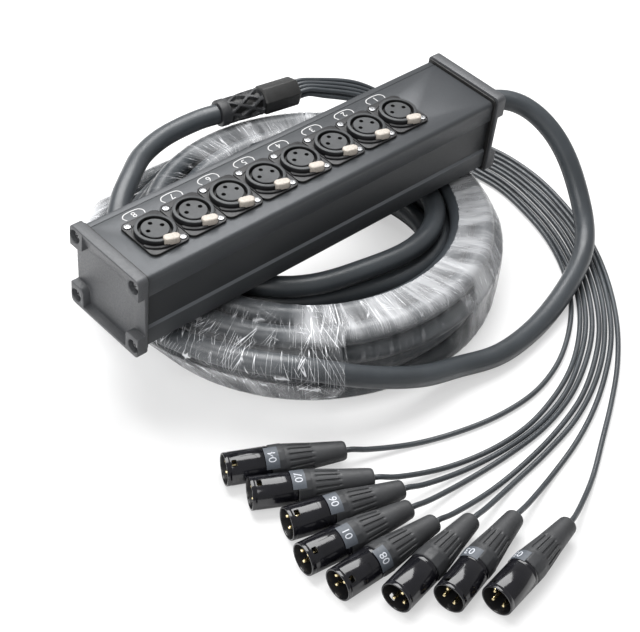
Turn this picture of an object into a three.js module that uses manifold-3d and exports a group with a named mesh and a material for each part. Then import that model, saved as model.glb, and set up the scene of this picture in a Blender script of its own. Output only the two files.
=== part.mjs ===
// Stage box snake: an eight-socket stage box on its coiled multicore, with a fan-out of eight plugs.
// Millimetres, +Z up. The coil stands on z = 0 and the box lies across it, its length along X.
import * as THREE from 'three';
import { mergeVertices } from 'three/addons/utils/BufferGeometryUtils.js';
import Module from 'manifold-3d';

const wasm = await Module();
wasm.setup();

// Clearances shared by all pieces
const seatGap = 0.3;
const runningGap = 0.3;
const overrun = 4;
const weld = 0.001;
const screwSides = 8;
const smallSides = 6;

// Multicore: the thick cord, piled in a coil of four layers
const trunkDiameter = 13;
const coilCentreX = 20;
const coilCentreY = 8;
const coilOuterRadius = 115.5;
const coilOval = 5;
const coilOvalHeading = THREE.MathUtils.degToRad(-10);
const coilRadialPitch = 13.6;
const coilLayerPitch = 13.6;
const coilLayers = 4;
const coilTurnsPerLayer = 3;
const coilInnerShift = 7;
const coilReversalHeading = THREE.MathUtils.degToRad(45);
const coilTopEndHeading = THREE.MathUtils.degToRad(165);
const coilStepsPerTurn = 21;
const coilSides = 6;
const coilClimbTurns = 0.5;
const coilFlatShare = 0.1;
const coilFootLead = 40;
const coilTopLead = 13;
const trunkSides = 8;
const trunkStepLength = 20;

// Box: an extruded trough closed by an extruded deck, with moulded end caps
const extrusionLength = 266;
const boxWidth = 55;
const boxHeight = 49;
const wall = 2.5;
const seamRimWidth = 3.8;
const deckEdgeRadius = 3;
const deckSkirtDrop = 13;
const recessDepth = 1.2;
const lowerBandHeight = 14;
const lowerEdgeBevel = 1;
const portRadius = 2.9;
const screwFromSide = 2.1;
const screwFromBottom = 3.5;
const screwFromTop = 3.1;
const gasketThickness = 1;
const gasketInset = 1.3;
const gasketWallInset = 3;
const capOverhang = 3.2;
const capSide = 2.5;
const capDepth = 6.8;
const capCornerRadius = 3;
const capUpperThickness = 2.4;
const capLowerThickness = 1.6;
const capUpperEdge = 1;
const capLowerEdge = 2;
const capSlopeHeight = 12;
const capLugWidth = 11;
const capLugHeight = 14.2;
const screwShankRadius = 1.3;
const screwHeadRadius = 2.8;
const screwHeadHeight = 2;
const screwShankLength = 13;
const counterboreRadius = 4.1;
const counterboreDepth = 4;
const counterboreSides = 12;

// Sockets: eight panel sockets with a sprung latch tab each
const socketCount = 8;
const socketPitch = 26.2;
const socketRowX = -16.3;
const socketRowY = -1.3;
const flangeWidth = 25.8;
const flangeLength = 31;
const flangeThickness = 1.3;
const flangeCornerRadius = 4;
const flangeArcSteps = 1;
const flangeScrewX = 9.5;
const flangeScrewY = 12;
const flangeScrewRadius = 1.6;
const socketBodyRadius = 11.6;
const socketBodyDepth = 20;
const socketSides = 16;
const collarHeight = 4.8;
const collarBevel = 0.8;
const grooveOuterRadius = 9.6;
const grooveInnerRadius = 7.9;
const grooveDepth = 14;
const insertDrop = 0.4;
const pinHoleRadius = 1.3;
const pinHoleDepth = 8;
const pinCircleRadius = 4.6;
const latchHeading = THREE.MathUtils.degToRad(-68);
const pinTurns = [180, 270, 90];
const latchReach = 11.3;
const latchLength = 8;
const latchWidth = 5;
const latchRise = 5.8;
const latchTravel = 1.6;
const latchBevel = 0.7;
const latchArcSteps = 2;
const latchStemRadius = 0.9;
const latchStemReach = 10.2;
const latchStemLength = 6;

// Gland where the multicore leaves the right-hand cap
const glandHeight = 24;
const glandBossRadius = 12.5;
const glandBossHeight = 4.5;
const glandFlangeRadius = 11;
const glandFlangeThickness = 3;
const glandNoseRadius = 9;
const glandNoseLength = 5.2;
const glandShankRadius = 7.4;
const glandHoleRadius = 7.8;
const glandBevel = 1;
const glandSides = 16;

// Fan-out boot on the far end of the multicore, lying along fanOutStart to fanOutEnd
const fanOutStart = new THREE.Vector3(29.8, 109.5, 60);
const fanOutEnd = new THREE.Vector3(87.6, 99.2, 61);
const reliefLength = 31;
const reliefNeckRadius = 7.9;
const reliefRadius = 9;
const reliefGrooves = 4;
const reliefGrooveDepth = 1;
const reliefFlankShare = 0.25;
const reliefSides = 12;
const collarAcrossCorners = 20;
const fanCollarBevel = 1.5;

// Eight tails and their plugs
const tailDiameter = 3.2;
const tailSides = 6;
const tailSteps = 24;
const plugShellRadius = 9.3;
const plugCavityRadius = 8.2;
const plugCavityDepth = 17;
const plugShellLength = 25;
const plugNeckRadius = 7;
const plugNeckLength = 4;
const plugPinRadius = 1.2;
const plugPinLength = 12.5;
const plugPinCircle = 4.6;
const plugSides = 14;
const windowFromMouth = 4.5;
const windowLength = 4;
const windowWidth = 4.5;
const windowFloorRadius = 6.2;
const plugBandRadius = 9.6;
const plugBandBevel = 0.5;
const plugBandLength = 7.7;
const plugBootProfile = [[9.3, 7.7], [8.4, 15.7], [7.25, 24.7], [5.9, 38.7], [4.6, 43.7]];
const plugBootSides = 12;
const plugFloorGap = 0.1;

// Routes of the free cords, in the frame of the box: centre of its plan at x = y = 0
const trunkFrontRoute = [
  [157, 0, 80], [170, -4, 80], [181, -14, 77], [187.5, -28, 70], [190.5, -41, 61], [191.5, -54, 48],
  [190, -66, 34], [185, -78, 23], [176, -89, 15.5], [162, -98, 12], [142, -106.5, 10.5], [118, -114, 8],
  [90, -120, 7], [56, -122.5, 9], [27, -117, 13.5], [3, -115.5, 20], [-22.5, -109.5, 29], [-45, -100, 37],
  [-69, -84, 45], [-89, -63, 46], [-104, -37, 45], [-113.5, -4, 42], [-112.5, 31.5, 36], [-95.5, 75, 28],
  [-63.5, 108, 20], [-23, 127, 13], [20, 132.5, 8], [50, 127.5, 6.8],
];
const trunkTopRoute = [
  [-83, 66, 51.5], [-69, 80, 57], [-53, 91.5, 59.8], [-36, 103, 59.9], [-13, 110.5, 59.9],
];
const plugPlaces = {
  a: { label: 4, front: [-129.5, -90.9], heading: -26.4 },
  b: { label: 7, front: [-129.6, -112.3], heading: -28.9 },
  c: { label: 6, front: [-127.8, -140.35], heading: -17.9 },
  d: { label: 1, front: [-136.9, -163.15], heading: -8.7 },
  e: { label: 8, front: [-134.0, -186.4], heading: -2.1 },
  f: { label: 2, front: [-116.1, -211.0], heading: 8.9 },
  g: { label: 3, front: [-95.1, -228.4], heading: 12.4 },
  h: { label: 5, front: [-76.8, -245.0], heading: 8.3 },
};
const tailRoutes = {
  a: [[102, 88, 57], [127.5, 76, 48.5], [148.5, 61.5, 33.5], [165, 44.5, 16], [178.5, 21.5, 4],
    [184, -7.5, 2],
    [179.5, -36.5, 2], [170.5, -64.5, 2], [156, -90.5, 2], [137, -113.5, 2], [114, -131.5, 2],
    [87.5, -145.5, 2], [59, -153, 2], [29.5, -153, 2], [0.5, -147.5, 2], [-27.5, -138, 2], [-55, -127, 6.5]],
  b: [[102.5, 89, 60.5], [129, 76.5, 52], [151, 62.5, 36.5], [169, 46, 17.5], [183.5, 23, 4], [188, -7, 2],
    [183, -37, 2], [173.5, -66, 2], [159, -93, 2], [140.5, -117, 2], [117.5, -137, 2],
    [91, -153, 2], [62, -163.5, 2], [32.5, -169, 2], [2, -168, 2], [-28, -161, 2], [-56.5, -151, 6]],
  c: [[103, 92, 57], [129.5, 80, 48.5], [152, 66, 33.5], [171, 49.5, 16], [186.5, 26.5, 4], [192.5, -3, 2],
    [188.5, -33.5, 2], [179.5, -62.5, 2], [165.5, -90, 2], [147.5, -114.5, 2], [125.5, -135.5, 2],
    [100, -152, 2], [72, -165, 2], [42, -172, 2], [11.5, -173, 2], [-19, -169.5, 2], [-48.5, -164.5, 6]],
  d: [[103, 93, 61], [131, 81, 52], [154.5, 67, 36], [174, 50.5, 17], [191.5, 28, 4], [198, -2.5, 2],
    [193.5, -34, 2], [184, -64, 2], [169, -92, 2], [150, -117.5, 2], [127, -139.5, 2],
    [100, -156.5, 2], [71, -169, 2], [40, -175.8, 2], [8.5, -177, 2], [-23.5, -175.5, 2],
    [-55, -174.5, 6.5]],
  e: [[103.5, 96, 57], [132, 84, 48.5], [156, 70, 32.5], [177.5, 53.5, 14.5], [195.5, 29.5, 3.5],
    [202, -1.5, 2],
    [198.5, -33.5, 2], [188.5, -64.5, 2], [173.5, -92.5, 2], [154.5, -118.5, 2], [131.5, -141.5, 2],
    [105, -159.5, 2], [76, -173.5, 2], [45, -182, 2], [13, -187, 2], [-19, -189, 2], [-51, -189, 6]],
  f: [[104, 97, 61], [132.5, 85.5, 52.5], [157, 72.5, 36.5], [178, 57.5, 18], [197, 36, 4.5],
    [206.5, 5.5, 2],
    [204, -26, 2], [196, -57, 2], [182.5, -86, 2], [164.5, -112.5, 2], [143, -136, 2],
    [118, -156, 2], [90, -171.8, 2], [60, -183, 2], [28.5, -189.2, 2], [-3, -193, 2], [-34, -198, 6.5]],
  g: [[104.5, 100, 57.5], [132.5, 88.5, 49.5], [157.5, 76, 34.5], [179.5, 61.5, 17], [199, 41, 4.5],
    [210.5, 12, 2], [210, -19.5, 2], [202.6, -50, 2], [190.8, -79, 2], [173.8, -106.2, 2],
    [153.5, -130.8, 2],
    [130.5, -152, 2], [104, -169.5, 2], [76, -184, 2], [47, -195, 2], [16.5, -203, 2], [-14, -210.5, 6.5]],
  h: [[104.5, 101, 61], [133.5, 90, 53.5], [158, 78, 38], [180.5, 64.5, 20], [201, 45.5, 6],
    [214.5, 17.5, 2],
    [215, -14, 2], [208.3, -44.5, 2], [197, -74, 2], [181, -101.8, 2], [161.8, -126.8, 2],
    [139.5, -149.8, 2], [115, -169.7, 2], [88.5, -187, 2], [61, -203, 2], [33.5, -218.5, 2], [5, -231, 6.5]],
};
const tailColumnPitch = 3.7;
const tailRowPitch = 3.6;

// Materials
const colours = {
  anodised: [0x3c3f42, 0.5, 0.55],
  cast: [0x4a4c4e, 0.6, 0.4],
  gasket: [0x121314, 0.9, 0],
  screw: [0xb9bcbe, 0.3, 0.9],
  socket: [0x18191b, 0.4, 0.1],
  latch: [0xd9cdbd, 0.5, 0],
  cord: [0x26292b, 0.6, 0],
  boot: [0x1b1d1f, 0.7, 0],
  chromeBlack: [0x1d1e21, 0.2, 0.8],
};

function materialOf(kind) {
  const [color, roughness, metalness] = colours[kind];
  return new THREE.MeshStandardMaterial({ color, roughness, metalness });
}

// Solids and booleans
function solidOf(geometry) {
  const bare = geometry.clone();
  bare.deleteAttribute('normal');
  bare.deleteAttribute('uv');
  const merged = mergeVertices(bare, weld);
  const corners = merged.index.array;
  const kept = [];
  for (let i = 0; i < corners.length; i += 3) {
    const [a, b, c] = [corners[i], corners[i + 1], corners[i + 2]];
    if (a !== b && b !== c && c !== a) kept.push(a, b, c);
  }
  return new wasm.Manifold(new wasm.Mesh({
    numProp: 3,
    vertProperties: new Float32Array(merged.attributes.position.array),
    triVerts: new Uint32Array(kept),
  }));
}

function geometryOf(solid) {
  const mesh = solid.getMesh();
  const geometry = new THREE.BufferGeometry();
  geometry.setAttribute('position', new THREE.BufferAttribute(mesh.vertProperties.slice(), 3));
  geometry.setIndex(new THREE.BufferAttribute(mesh.triVerts.slice(), 1));
  return geometry;
}

function joined(solids) {
  return solids.reduce((whole, solid) => whole.add(solid));
}

function without(body, cuts) {
  return cuts.reduce((rest, cut) => rest.subtract(cut), body);
}

function block(low, high) {
  const size = high.map((value, axis) => value - low[axis]);
  const geometry = new THREE.BoxGeometry(...size);
  geometry.translate(...low.map((value, axis) => value + size[axis] / 2));
  return solidOf(geometry);
}

// A profile of [radius, height] pairs turned about +Z
function turned(profile, sides) {
  const points = profile.map(([radius, height]) => new THREE.Vector2(radius, height));
  const geometry = new THREE.LatheGeometry(points, sides);
  geometry.rotateX(Math.PI / 2);
  return solidOf(geometry);
}

function rod(radius, low, high, sides, [x, y] = [0, 0]) {
  const geometry = new THREE.CylinderGeometry(radius, radius, high - low, sides);
  geometry.rotateX(Math.PI / 2);
  geometry.translate(x, y, (low + high) / 2);
  return solidOf(geometry);
}

const alongX = new THREE.Matrix4().makeBasis(
  new THREE.Vector3(0, 1, 0), new THREE.Vector3(0, 0, 1), new THREE.Vector3(1, 0, 0));

// An outline in the Y-Z plane pushed along X from low to high
function extrudedX(shape, low, high, arcSteps = 2) {
  const geometry = new THREE.ExtrudeGeometry(shape, {
    depth: high - low, bevelEnabled: false, curveSegments: arcSteps,
  });
  geometry.applyMatrix4(alongX);
  geometry.translate(low, 0, 0);
  return solidOf(geometry);
}

function rodX(radius, low, high, sides, y, z) {
  const geometry = new THREE.CylinderGeometry(radius, radius, high - low, sides);
  geometry.rotateZ(-Math.PI / 2);
  geometry.translate((low + high) / 2, y, z);
  return solidOf(geometry);
}

function roundedRectangle(low, high, radius) {
  const [x0, y0] = low;
  const [x1, y1] = high;
  const shape = new THREE.Shape();
  shape.moveTo(x0 + radius, y0);
  shape.lineTo(x1 - radius, y0);
  shape.absarc(x1 - radius, y0 + radius, radius, -Math.PI / 2, 0);
  shape.lineTo(x1, y1 - radius);
  shape.absarc(x1 - radius, y1 - radius, radius, 0, Math.PI / 2);
  shape.lineTo(x0 + radius, y1);
  shape.absarc(x0 + radius, y1 - radius, radius, Math.PI / 2, Math.PI);
  shape.lineTo(x0, y0 + radius);
  shape.absarc(x0 + radius, y0 + radius, radius, Math.PI, Math.PI * 1.5);
  return shape;
}

function outlineOf(points) {
  return new THREE.Shape(points.map(([y, z]) => new THREE.Vector2(y, z)));
}

// The assembly keeps its own pieces apart from the cords, whose box does not set the origin
const assembly = new THREE.Group();
const ownMeshes = [];

function place(name, geometry, kind, parent = assembly, own = true) {
  const mesh = new THREE.Mesh(geometry, materialOf(kind));
  mesh.name = name;
  parent.add(mesh);
  if (own) ownMeshes.push(mesh);
  return mesh;
}

// Coil: one tube that spirals in, climbs a layer, spirals out, climbs again
const cordRadius = trunkDiameter / 2;
const coilFirstAxis = cordRadius - trunkDiameter * coilFlatShare;
const coilSpread = coilRadialPitch * coilTurnsPerLayer + coilInnerShift;
const fullTurn = Math.PI * 2;
const coilTurns = coilLayers * coilTurnsPerLayer - (coilTopEndHeading - coilReversalHeading) / fullTurn;
const coilTop = coilFirstAxis + (coilLayers - 1) * coilLayerPitch + cordRadius;

function smooth(share) {
  const held = THREE.MathUtils.clamp(share, 0, 1);
  return held * held * (3 - 2 * held);
}

function coilHeading(turn) {
  return coilReversalHeading - fullTurn * turn;
}

function coilPoint(turn) {
  const heading = coilHeading(turn);
  const phase = turn % (2 * coilTurnsPerLayer);
  const inward = Math.min(phase, 2 * coilTurnsPerLayer - phase) / coilTurnsPerLayer;
  const oval = coilOval * Math.cos(2 * (heading - coilOvalHeading));
  const radius = coilOuterRadius + oval - inward * coilSpread;
  let height = coilFirstAxis;
  for (let layer = 1; layer < coilLayers; layer += 1) {
    const start = layer * coilTurnsPerLayer - coilClimbTurns / 2;
    height += coilLayerPitch * smooth((turn - start) / coilClimbTurns);
  }
  return new THREE.Vector3(
    coilCentreX + inward * coilInnerShift + radius * Math.cos(heading),
    coilCentreY + radius * Math.sin(heading),
    height);
}

// The way the cord runs at a heading round the coil, clockwise from above
function coilTangent(heading) {
  return new THREE.Vector3(Math.sin(heading), -Math.cos(heading), 0);
}

function coilRings() {
  const rings = [];
  const steps = Math.round(coilTurns * coilStepsPerTurn);
  for (let step = 0; step <= steps; step += 1) {
    const turn = step * coilTurns / steps;
    rings.push({ centre: coilPoint(turn), heading: coilHeading(turn) });
  }
  const first = rings[0];
  const last = rings[steps];
  const foot = coilTangent(first.heading).multiplyScalar(-coilFootLead).add(first.centre);
  const top = coilTangent(last.heading).multiplyScalar(coilTopLead).add(last.centre);
  return [{ centre: foot, heading: first.heading }, ...rings, { centre: top, heading: last.heading }];
}

function coilTube(rings) {
  const positions = [];
  for (const { centre, heading } of rings) {
    const outward = new THREE.Vector3(Math.cos(heading), Math.sin(heading), 0);
    for (let side = 0; side < coilSides; side += 1) {
      const angle = (side + 0.5) * fullTurn / coilSides;
      const corner = centre.clone().addScaledVector(outward, cordRadius * Math.cos(angle));
      positions.push(corner.x, corner.y, corner.z + cordRadius * Math.sin(angle));
    }
  }
  const faces = [];
  for (let ring = 0; ring + 1 < rings.length; ring += 1) {
    for (let side = 0; side < coilSides; side += 1) {
      const a = ring * coilSides + side;
      const b = ring * coilSides + (side + 1) % coilSides;
      faces.push(a, b, a + coilSides, b, b + coilSides, a + coilSides);
    }
  }
  const end = (rings.length - 1) * coilSides;
  for (let side = 1; side + 1 < coilSides; side += 1) {
    faces.push(0, side + 1, side, end, end + side, end + side + 1);
  }
  const geometry = new THREE.BufferGeometry();
  geometry.setAttribute('position', new THREE.Float32BufferAttribute(positions, 3));
  geometry.setIndex(faces);
  return geometry;
}

// Least clear distance between two stretches of the coil more than half a turn apart
function leastGap(rings) {
  const pointsPerStep = 3;
  const points = [];
  for (let ring = 0; ring + 1 < rings.length; ring += 1) {
    for (let part = 0; part < pointsPerStep; part += 1) {
      points.push(rings[ring].centre.clone().lerp(rings[ring + 1].centre, part / pointsPerStep));
    }
  }
  const apart = Math.ceil(coilStepsPerTurn * pointsPerStep / 2);
  let least = Infinity;
  for (let i = 0; i < points.length; i += 1) {
    for (let j = i + apart; j < points.length; j += 1) {
      least = Math.min(least, points[i].distanceTo(points[j]) - trunkDiameter);
    }
  }
  return least;
}

const rings = coilRings();
console.log(`coil: ${coilTurns.toFixed(2)} turns, least gap to itself ${leastGap(rings).toFixed(2)} mm`);
const coilReach = coilOuterRadius + coilOval + trunkDiameter + coilFootLead;
const floorSlab = block(
  [coilCentreX - coilReach, coilCentreY - coilReach, -trunkDiameter],
  [coilCentreX + coilReach, coilCentreY + coilReach, 0]);
place('multicore_coil', geometryOf(solidOf(coilTube(rings)).subtract(floorSlab)), 'cord');

// Box heights follow the top of the coil that it rests on
const capBottom = coilTop + seatGap;
const boxBottom = capBottom + capOverhang;
const deckTop = boxBottom + boxHeight;
const capTop = deckTop + capOverhang;
const halfLength = extrusionLength / 2;
const halfWidth = boxWidth / 2;
const capHalfWidth = halfWidth + capSide;
const lidFarEdge = halfWidth - seamRimWidth - seatGap;
const skirtBottom = deckTop - deckSkirtDrop;
const lidUnder = deckTop - wall;
const screwY = halfWidth - screwFromSide;
const screwLowZ = boxBottom + screwFromBottom;
const screwHighZ = deckTop - screwFromTop;
const screwPlaces = [[-screwY, screwLowZ], [screwY, screwLowZ], [-screwY, screwHighZ], [screwY, screwHighZ]];
const portHoleRadius = screwShankRadius + runningGap;
const pinHeadings = pinTurns.map((turn) => latchHeading + THREE.MathUtils.degToRad(turn));

function socketX(index) {
  return socketRowX + (index - (socketCount - 1) / 2) * socketPitch;
}

// Screw ports and the holes through them, kept inside the outer faces of an extrusion
function portsWithin(outer, places) {
  return joined(places.map(([y, z]) => rodX(portRadius, -halfLength, halfLength, screwSides, y, z)))
    .intersect(outer);
}

function portHoles(places) {
  return places.map(([y, z]) => rodX(
    portHoleRadius, -halfLength - overrun, halfLength + overrun, screwSides, y, z));
}

function deckLid() {
  const outline = new THREE.Shape();
  outline.moveTo(-halfWidth, skirtBottom);
  outline.lineTo(lidFarEdge, skirtBottom);
  outline.lineTo(lidFarEdge, deckTop);
  const edgeCentre = [-halfWidth + deckEdgeRadius, deckTop - deckEdgeRadius];
  outline.lineTo(edgeCentre[0], deckTop);
  outline.absarc(...edgeCentre, deckEdgeRadius, Math.PI / 2, Math.PI);
  const outer = extrudedX(outline, -halfLength, halfLength);
  const inside = block(
    [-halfLength - overrun, -halfWidth + wall, skirtBottom - overrun],
    [halfLength + overrun, lidFarEdge + overrun, lidUnder]);
  const nearPort = [[-screwY, screwHighZ]];
  const holes = [];
  for (let index = 0; index < socketCount; index += 1) {
    holes.push(rod(socketBodyRadius + runningGap, lidUnder - overrun, deckTop + overrun, socketSides,
      [socketX(index), socketRowY]));
  }
  const shell = outer.subtract(inside).add(portsWithin(outer, nearPort));
  return without(shell, [...portHoles(nearPort), ...holes]);
}

function baseTrough() {
  const near = -halfWidth;
  const nearTop = skirtBottom - seatGap;
  const bandTop = boxBottom + lowerBandHeight;
  const outer = extrudedX(outlineOf([
    [near + lowerEdgeBevel, boxBottom], [halfWidth - lowerEdgeBevel, boxBottom],
    [halfWidth, boxBottom + lowerEdgeBevel], [halfWidth, deckTop],
    [near + recessDepth, deckTop], [near + recessDepth, bandTop], [near, bandTop - recessDepth],
    [near, boxBottom + lowerEdgeBevel],
  ]), -halfLength, halfLength);
  const inside = block(
    [-halfLength - overrun, near + recessDepth + wall, boxBottom + wall],
    [halfLength + overrun, halfWidth - wall, deckTop + overrun]);
  const rim = block([-halfLength, lidFarEdge + seatGap, lidUnder], [halfLength, halfWidth, deckTop]);
  const places = [[-screwY, screwLowZ], [screwY, screwLowZ], [screwY, screwHighZ]];
  const skirtSpace = block(
    [-halfLength - overrun, near - overrun, nearTop],
    [halfLength + overrun, near + wall + overrun, deckTop + overrun]);
  const lidSpace = block(
    [-halfLength - overrun, near - overrun, lidUnder - seatGap],
    [halfLength + overrun, lidFarEdge + seatGap, deckTop + overrun]);
  const shell = joined([outer.subtract(inside), rim, portsWithin(outer, places)]);
  return without(shell, [...portHoles(places), skirtSpace, lidSpace]);
}

function screwRods(low, high, radius, sides) {
  return screwPlaces.map(([y, z]) => rodX(radius, low, high, sides, y, z));
}

function gasket(low) {
  const high = low + gasketThickness;
  const sheet = extrudedX(roundedRectangle(
    [-capHalfWidth + gasketInset, capBottom + gasketInset],
    [capHalfWidth - gasketInset, capTop - gasketInset], capCornerRadius), low, high);
  const wallInset = wall + gasketWallInset;
  const opening = block(
    [low - overrun, -halfWidth + wallInset, boxBottom + wallInset],
    [high + overrun, halfWidth - wallInset, deckTop - wallInset]);
  return without(sheet, [opening, ...screwRods(low - overrun, high + overrun, portHoleRadius, screwSides)]);
}

// An outline of [x, z] points pushed along Y
function extrudedY(points, low, high) {
  const geometry = new THREE.ExtrudeGeometry(outlineOf(points), { depth: high - low, bevelEnabled: false });
  geometry.rotateX(Math.PI / 2);
  geometry.translate(0, high, 0);
  return solidOf(geometry);
}

// A cap with its outer face towards +X, its back at x = 0: a sloping plate between four square lugs
function endCap(withGland) {
  const outline = extrudedX(roundedRectangle(
    [-capHalfWidth, capBottom], [capHalfWidth, capTop], capCornerRadius), 0, capDepth);
  const plate = extrudedY([
    [0, capBottom], [capDepth, capBottom], [capDepth, capBottom + capLowerEdge],
    [capLowerThickness, capBottom + capLowerEdge],
    [capUpperThickness, capTop - capUpperEdge - capSlopeHeight],
    [capDepth, capTop - capUpperEdge], [capDepth, capTop], [0, capTop],
  ], -capHalfWidth, capHalfWidth);
  const lugPlaces = [-1, 1].flatMap((side) => {
    const [y0, y1] = side > 0
      ? [capHalfWidth - capLugWidth, capHalfWidth + overrun]
      : [-capHalfWidth - overrun, -capHalfWidth + capLugWidth];
    return [[[y0, capBottom - overrun], [y1, capBottom + capLugHeight]],
      [[y0, capTop - capLugHeight], [y1, capTop + overrun]]];
  });
  const lugs = lugPlaces.map(
    ([low, high]) => extrudedX(roundedRectangle(low, high, capCornerRadius), 0, capDepth));
  const glandPlace = [0, boxBottom + glandHeight];
  const boss = rodX(glandBossRadius, 0, glandBossHeight, glandSides, ...glandPlace);
  const body = joined([plate, ...lugs, ...(withGland ? [boss] : [])]).intersect(outline);
  const cuts = [
    ...screwRods(-overrun, capDepth + overrun, portHoleRadius, screwSides),
    ...screwRods(capDepth - counterboreDepth, capDepth + overrun, counterboreRadius, counterboreSides),
  ];
  if (withGland) cuts.push(rodX(glandHoleRadius, -overrun, capDepth + overrun, glandSides, ...glandPlace));
  return without(body, cuts);
}

// A pan-head screw along +Z, its head's seat at z = 0
function capScrew() {
  return turned([
    [0, -screwShankLength], [screwShankRadius, -screwShankLength], [screwShankRadius, 0],
    [screwHeadRadius, 0], [screwHeadRadius, screwHeadHeight / 2],
    [screwHeadRadius / 2, screwHeadHeight], [0, screwHeadHeight],
  ], screwSides);
}

place('deck_lid', geometryOf(deckLid()), 'anodised');
place('base_trough', geometryOf(baseTrough()), 'anodised');

const gasketBack = halfLength + seatGap;
const capBack = gasketBack + gasketThickness + seatGap;
for (const [side, sign] of [['right', 1], ['left', -1]]) {
  const gasketLow = sign > 0 ? gasketBack : -gasketBack - gasketThickness;
  place(`gasket_${side}`, geometryOf(gasket(gasketLow)), 'gasket');
  const end = new THREE.Group();
  end.position.x = sign * capBack;
  end.rotation.z = sign > 0 ? 0 : Math.PI;
  assembly.add(end);
  place(`end_cap_${side}`, geometryOf(endCap(sign > 0)), 'cast', end);
  screwPlaces.forEach(([y, z], index) => {
    const screw = place(`cap_screw_${side}_${index + 1}`, geometryOf(capScrew()), 'screw', end);
    screw.position.set(capDepth - counterboreDepth + seatGap, y, z);
    screw.rotation.y = Math.PI / 2;
  });
}

// Socket in its own frame: z = 0 on the deck
function ovalShape(length, width) {
  const shape = new THREE.Shape();
  const run = (length - width) / 2;
  shape.absarc(run, 0, width / 2, -Math.PI / 2, Math.PI / 2);
  shape.absarc(-run, 0, width / 2, Math.PI / 2, Math.PI * 1.5);
  return shape;
}

// An oval prism on the latch's place, its long side square to the latch's heading
function latchPrism(length, width, low, high) {
  const geometry = new THREE.ExtrudeGeometry(ovalShape(length, width), {
    depth: high - low, bevelEnabled: false, curveSegments: latchArcSteps,
  });
  geometry.rotateZ(latchHeading + Math.PI / 2);
  geometry.translate(latchReach * Math.cos(latchHeading), latchReach * Math.sin(latchHeading), low);
  return solidOf(geometry);
}

const latchFoot = latchTravel + runningGap;
const stemPlace = [latchStemReach * Math.cos(latchHeading), latchStemReach * Math.sin(latchHeading)];

function socketHousing() {
  const flangeTop = seatGap + flangeThickness;
  const body = turned([
    [0, -socketBodyDepth], [socketBodyRadius, -socketBodyDepth],
    [socketBodyRadius, collarHeight - collarBevel], [socketBodyRadius - collarBevel, collarHeight],
    [grooveOuterRadius, collarHeight],
    [grooveOuterRadius, -grooveDepth], [grooveInnerRadius, -grooveDepth],
    [grooveInnerRadius, collarHeight - insertDrop], [0, collarHeight - insertDrop],
  ], socketSides);
  const flangeGeometry = new THREE.ExtrudeGeometry(roundedRectangle(
    [-flangeWidth / 2, -flangeLength / 2], [flangeWidth / 2, flangeLength / 2], flangeCornerRadius), {
    depth: flangeThickness, bevelEnabled: false, curveSegments: flangeArcSteps,
  });
  flangeGeometry.translate(0, 0, seatGap);
  const well = rod(grooveOuterRadius + runningGap, -overrun, flangeTop + overrun, socketSides);
  const flange = solidOf(flangeGeometry).subtract(well);
  const screwHoles = [[-flangeScrewX, flangeScrewY], [flangeScrewX, -flangeScrewY]].map(
    (at) => rod(flangeScrewRadius, -overrun, flangeTop + overrun, screwSides, at));
  const pinHoles = pinHeadings.map((heading) => rod(
    pinHoleRadius, collarHeight - insertDrop - pinHoleDepth, collarHeight + overrun, smallSides,
    [pinCircleRadius * Math.cos(heading), pinCircleRadius * Math.sin(heading)]));
  const pocket = latchPrism(latchLength + 2 * runningGap, latchWidth + 2 * runningGap,
    0, collarHeight + overrun);
  const stemWell = rod(latchStemRadius + runningGap,
    latchFoot - latchStemLength - latchTravel - runningGap, overrun, smallSides, stemPlace);
  return without(body.add(flange), [...screwHoles, ...pinHoles, pocket, stemWell]);
}

function latchTab() {
  const head = latchPrism(latchLength, latchWidth, latchFoot, latchRise - latchBevel);
  const crown = latchPrism(latchLength - 2 * latchBevel, latchWidth - 2 * latchBevel, latchFoot, latchRise);
  const stem = rod(latchStemRadius, latchFoot - latchStemLength, latchRise / 2, smallSides, stemPlace);
  return joined([head, crown, stem]);
}

for (let index = 0; index < socketCount; index += 1) {
  const socket = new THREE.Group();
  socket.position.set(socketX(index), socketRowY, deckTop);
  assembly.add(socket);
  const channel = socketCount - index;
  place(`socket_${channel}`, geometryOf(socketHousing()), 'socket', socket);
  place(`latch_tab_${channel}`, geometryOf(latchTab()), 'latch', socket);
}

// Gland through the right-hand cap
function gland() {
  const seat = glandBossHeight + seatGap;
  const nose = seat + glandFlangeThickness;
  return turned([
    [0, 0], [glandShankRadius, 0], [glandShankRadius, seat], [glandFlangeRadius, seat],
    [glandFlangeRadius, nose - glandBevel], [glandFlangeRadius - glandBevel, nose],
    [glandNoseRadius, nose], [glandNoseRadius - glandBevel, nose + glandNoseLength],
    [0, nose + glandNoseLength],
  ], glandSides);
}

const glandMesh = place('cable_gland', geometryOf(gland()), 'gasket');
glandMesh.position.set(capBack, 0, boxBottom + glandHeight);
glandMesh.rotation.y = Math.PI / 2;
const glandFace = capBack + glandBossHeight + seatGap + glandFlangeThickness + glandNoseLength;

// Free cords: a round section pushed along a smooth curve through the route
function tube(route, diameter, sideCount, steps) {
  const section = new THREE.Shape();
  section.absarc(0, 0, diameter / 2, 0, fullTurn);
  const curve = new THREE.CatmullRomCurve3(route, false, 'centripetal');
  return solidOf(new THREE.ExtrudeGeometry(section, {
    steps, extrudePath: curve, bevelEnabled: false, curveSegments: sideCount / 2,
  }));
}

function vectors(points) {
  return points.map((point) => new THREE.Vector3(...point));
}

function stepsFor(route, stepLength) {
  return Math.round(new THREE.CatmullRomCurve3(route, false, 'centripetal').getLength() / stepLength);
}

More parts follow.
